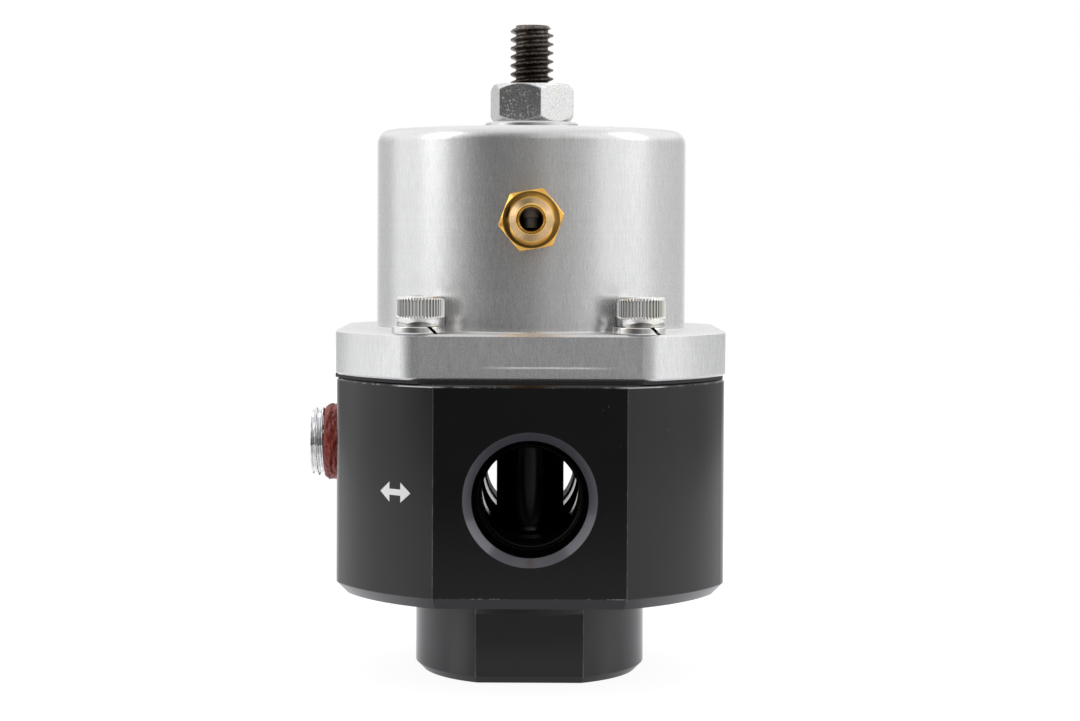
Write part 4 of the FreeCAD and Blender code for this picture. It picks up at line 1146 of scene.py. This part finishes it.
def make_floor():
    """A floor that ends between the part and the camera and goes on behind the part."""
    bm = bmesh.new()
    bmesh.ops.create_grid(bm, x_segments=1, y_segments=1, size=1.0)
    bmesh.ops.scale(bm, vec=(FLOOR_SIDE, (FLOOR_BACK - FLOOR_FRONT) / 2, 1), verts=bm.verts)
    bmesh.ops.translate(bm, vec=(0, (FLOOR_BACK + FLOOR_FRONT) / 2, 0), verts=bm.verts)
    data = bpy.data.meshes.new("floor")
    bm.to_mesh(data)
    bm.free()
    data.materials.append(floor_material())
    floor = bpy.data.objects.new("floor", data)
    bpy.context.scene.collection.objects.link(floor)


# Brightness of the studio round the part, by the angle from the front in degrees, right side positive
STUDIO = [
    (-180, 0.62), (-130, 0.60), (-116, 1.12), (-78, 1.12), (-64, 0.70), (-50, 0.36), (-40, 0.23),
    (-28, 0.13), (-16, 0.12), (-6, 0.17), (2, 0.20), (9, 0.33), (16, 0.40), (24, 0.38), (34, 0.50),
    (45, 0.64), (54, 1.05), (62, 1.10), (90, 1.05), (106, 0.75), (140, 0.60), (180, 0.62),
]

# The backdrop behind the part, which metal mirrors as white from this angle on
BACKDROP_FROM, BACKDROP_EDGE = math.radians(158), 0.1

# A dark panel high at the left of the camera, which the nut's left face reflects
PANEL_LEFT, PANEL_RIGHT = math.radians(-44), math.radians(-24)
PANEL_LOW, PANEL_HIGH = 0.050, 0.30
PANEL_SIDE_EDGE, PANEL_TOP_EDGE = 0.08, 0.012
PANEL_DARK = 0.85

# Heights here are the upward share of a direction. The studio is darker below the table's edge, brighter
# above eye level up to a limit, and closed by a ceiling with a white panel overhead.
BELOW_TABLE, BELOW_FROM, BELOW_END = 0.6, -0.12, -0.04
WARM, COOL = (1.0, 0.99, 0.95), (0.96, 0.98, 1.0)
TINT_LOW, TINT_HIGH = -0.3, 0.3
RISE, RISE_FROM, RISE_FULL = 1.9, 0.12, 0.38
BRIGHTEST = 1.1
CEILING, CEILING_FROM, CEILING_FULL = 0.86, 0.55, 0.92
OVERHEAD_FROM, OVERHEAD_FULL = 0.93, 0.985


def make_world():
    """White behind the part for the camera. The rest sees a studio with bright sides and a dark front."""
    world = bpy.data.worlds.new("studio")
    bpy.context.scene.world = world
    world.use_nodes = True
    t = world.node_tree
    t.nodes.clear()
    direction = add(t, "ShaderNodeTexCoord").outputs["Generated"]
    x, y, z = add(t, "ShaderNodeSeparateXYZ", i0=direction).outputs
    angle = math_node(t, "ARCTAN2", x, product(t, y, -1.0))
    share = total(t, math_node(t, "DIVIDE", angle, 2 * math.pi), 0.5)
    wall = ramp(t, share, [(place / 360 + 0.5, level) for place, level in STUDIO])
    tint = mix(t, remap(t, z, TINT_LOW, TINT_HIGH, 0.0, 1.0), COOL, WARM)
    wall = mix(t, 1.0, wall, tint, "MULTIPLY")
    below = remap(t, z, BELOW_FROM, BELOW_END, BELOW_TABLE, 1.0)
    wall = add(t, "ShaderNodeVectorMath", {"operation": "SCALE"}, i0=wall, Scale=below).outputs[0]
    panel_width = window(t, angle, PANEL_LEFT, PANEL_RIGHT, PANEL_SIDE_EDGE)
    panel = product(t, panel_width, window(t, z, PANEL_LOW, PANEL_HIGH, PANEL_TOP_EDGE))
    wall = mix(t, product(t, panel, PANEL_DARK), wall, BLACK)
    risen = remap(t, z, RISE_FROM, RISE_FULL, 1.0, RISE, smooth=True)
    wall = add(t, "ShaderNodeVectorMath", {"operation": "SCALE"}, i0=wall, Scale=risen).outputs[0]
    limit = (BRIGHTEST, BRIGHTEST, BRIGHTEST)
    wall = add(t, "ShaderNodeVectorMath", {"operation": "MINIMUM"}, i0=wall, i1=limit).outputs[0]
    upward = remap(t, z, CEILING_FROM, CEILING_FULL, 0.0, 1.0, smooth=True)
    room = mix(t, upward, wall, (CEILING, CEILING, CEILING))
    room = mix(t, remap(t, z, OVERHEAD_FROM, OVERHEAD_FULL, 0.0, 1.0), room, WHITE)
    away = math_node(t, "ABSOLUTE", angle)
    behind = remap(t, away, BACKDROP_FROM, BACKDROP_FROM + BACKDROP_EDGE, 0.0, 1.0)
    colour = mix(t, shown_white(t, behind), room, WHITE)
    background = add(t, "ShaderNodeBackground", Color=colour, Strength=1.0).outputs[0]
    add(t, "ShaderNodeOutputWorld", Surface=background)


# Lamps: name, place, width and height, brightness with 1 being white
LAMPS = [
    ("lamp_left", (-0.75, -0.20, 0.45), (0.35, 0.7), 1.1),
    ("lamp_right", (0.80, -0.08, 0.50), (0.30, 0.6), 1.5),
    ("lamp_top", (0.0, 0.45, 0.9), (0.8, 0.5), 0.7),
]


def make_lamp(name, place, size, strength):
    """A soft rectangular lamp that faces the part."""
    data = bpy.data.lights.new(name, "AREA")
    data.shape = "RECTANGLE"
    data.size, data.size_y = size
    data.energy = strength * math.pi * size[0] * size[1]
    lamp = bpy.data.objects.new(name, data)
    lamp.location = place
    middle = Vector((0, 0, (cad_box[0].z + cad_box[1].z) / 2))
    lamp.rotation_euler = (middle - Vector(place)).to_track_quat("-Z", "Y").to_euler()
    bpy.context.scene.collection.objects.link(lamp)


make_camera()
make_floor()
make_world()
for name, place, size, strength in LAMPS:
    make_lamp(name, place, size, strength)
materials = make_materials()
finish_nodes(materials)
make_adjusting_screw(materials["black_oxide"])
make_cap_screws(materials["zinc_plate"])
make_plug(materials["zinc_plate"])
make_sealant(materials["sealant"])
make_port_threads(materials["black_anodised"])
make_print(materials["print"])
make_barb(materials["brass"])
make_main_spring(materials["spring_steel"])

bpy.context.scene.view_settings.view_transform = "Standard"
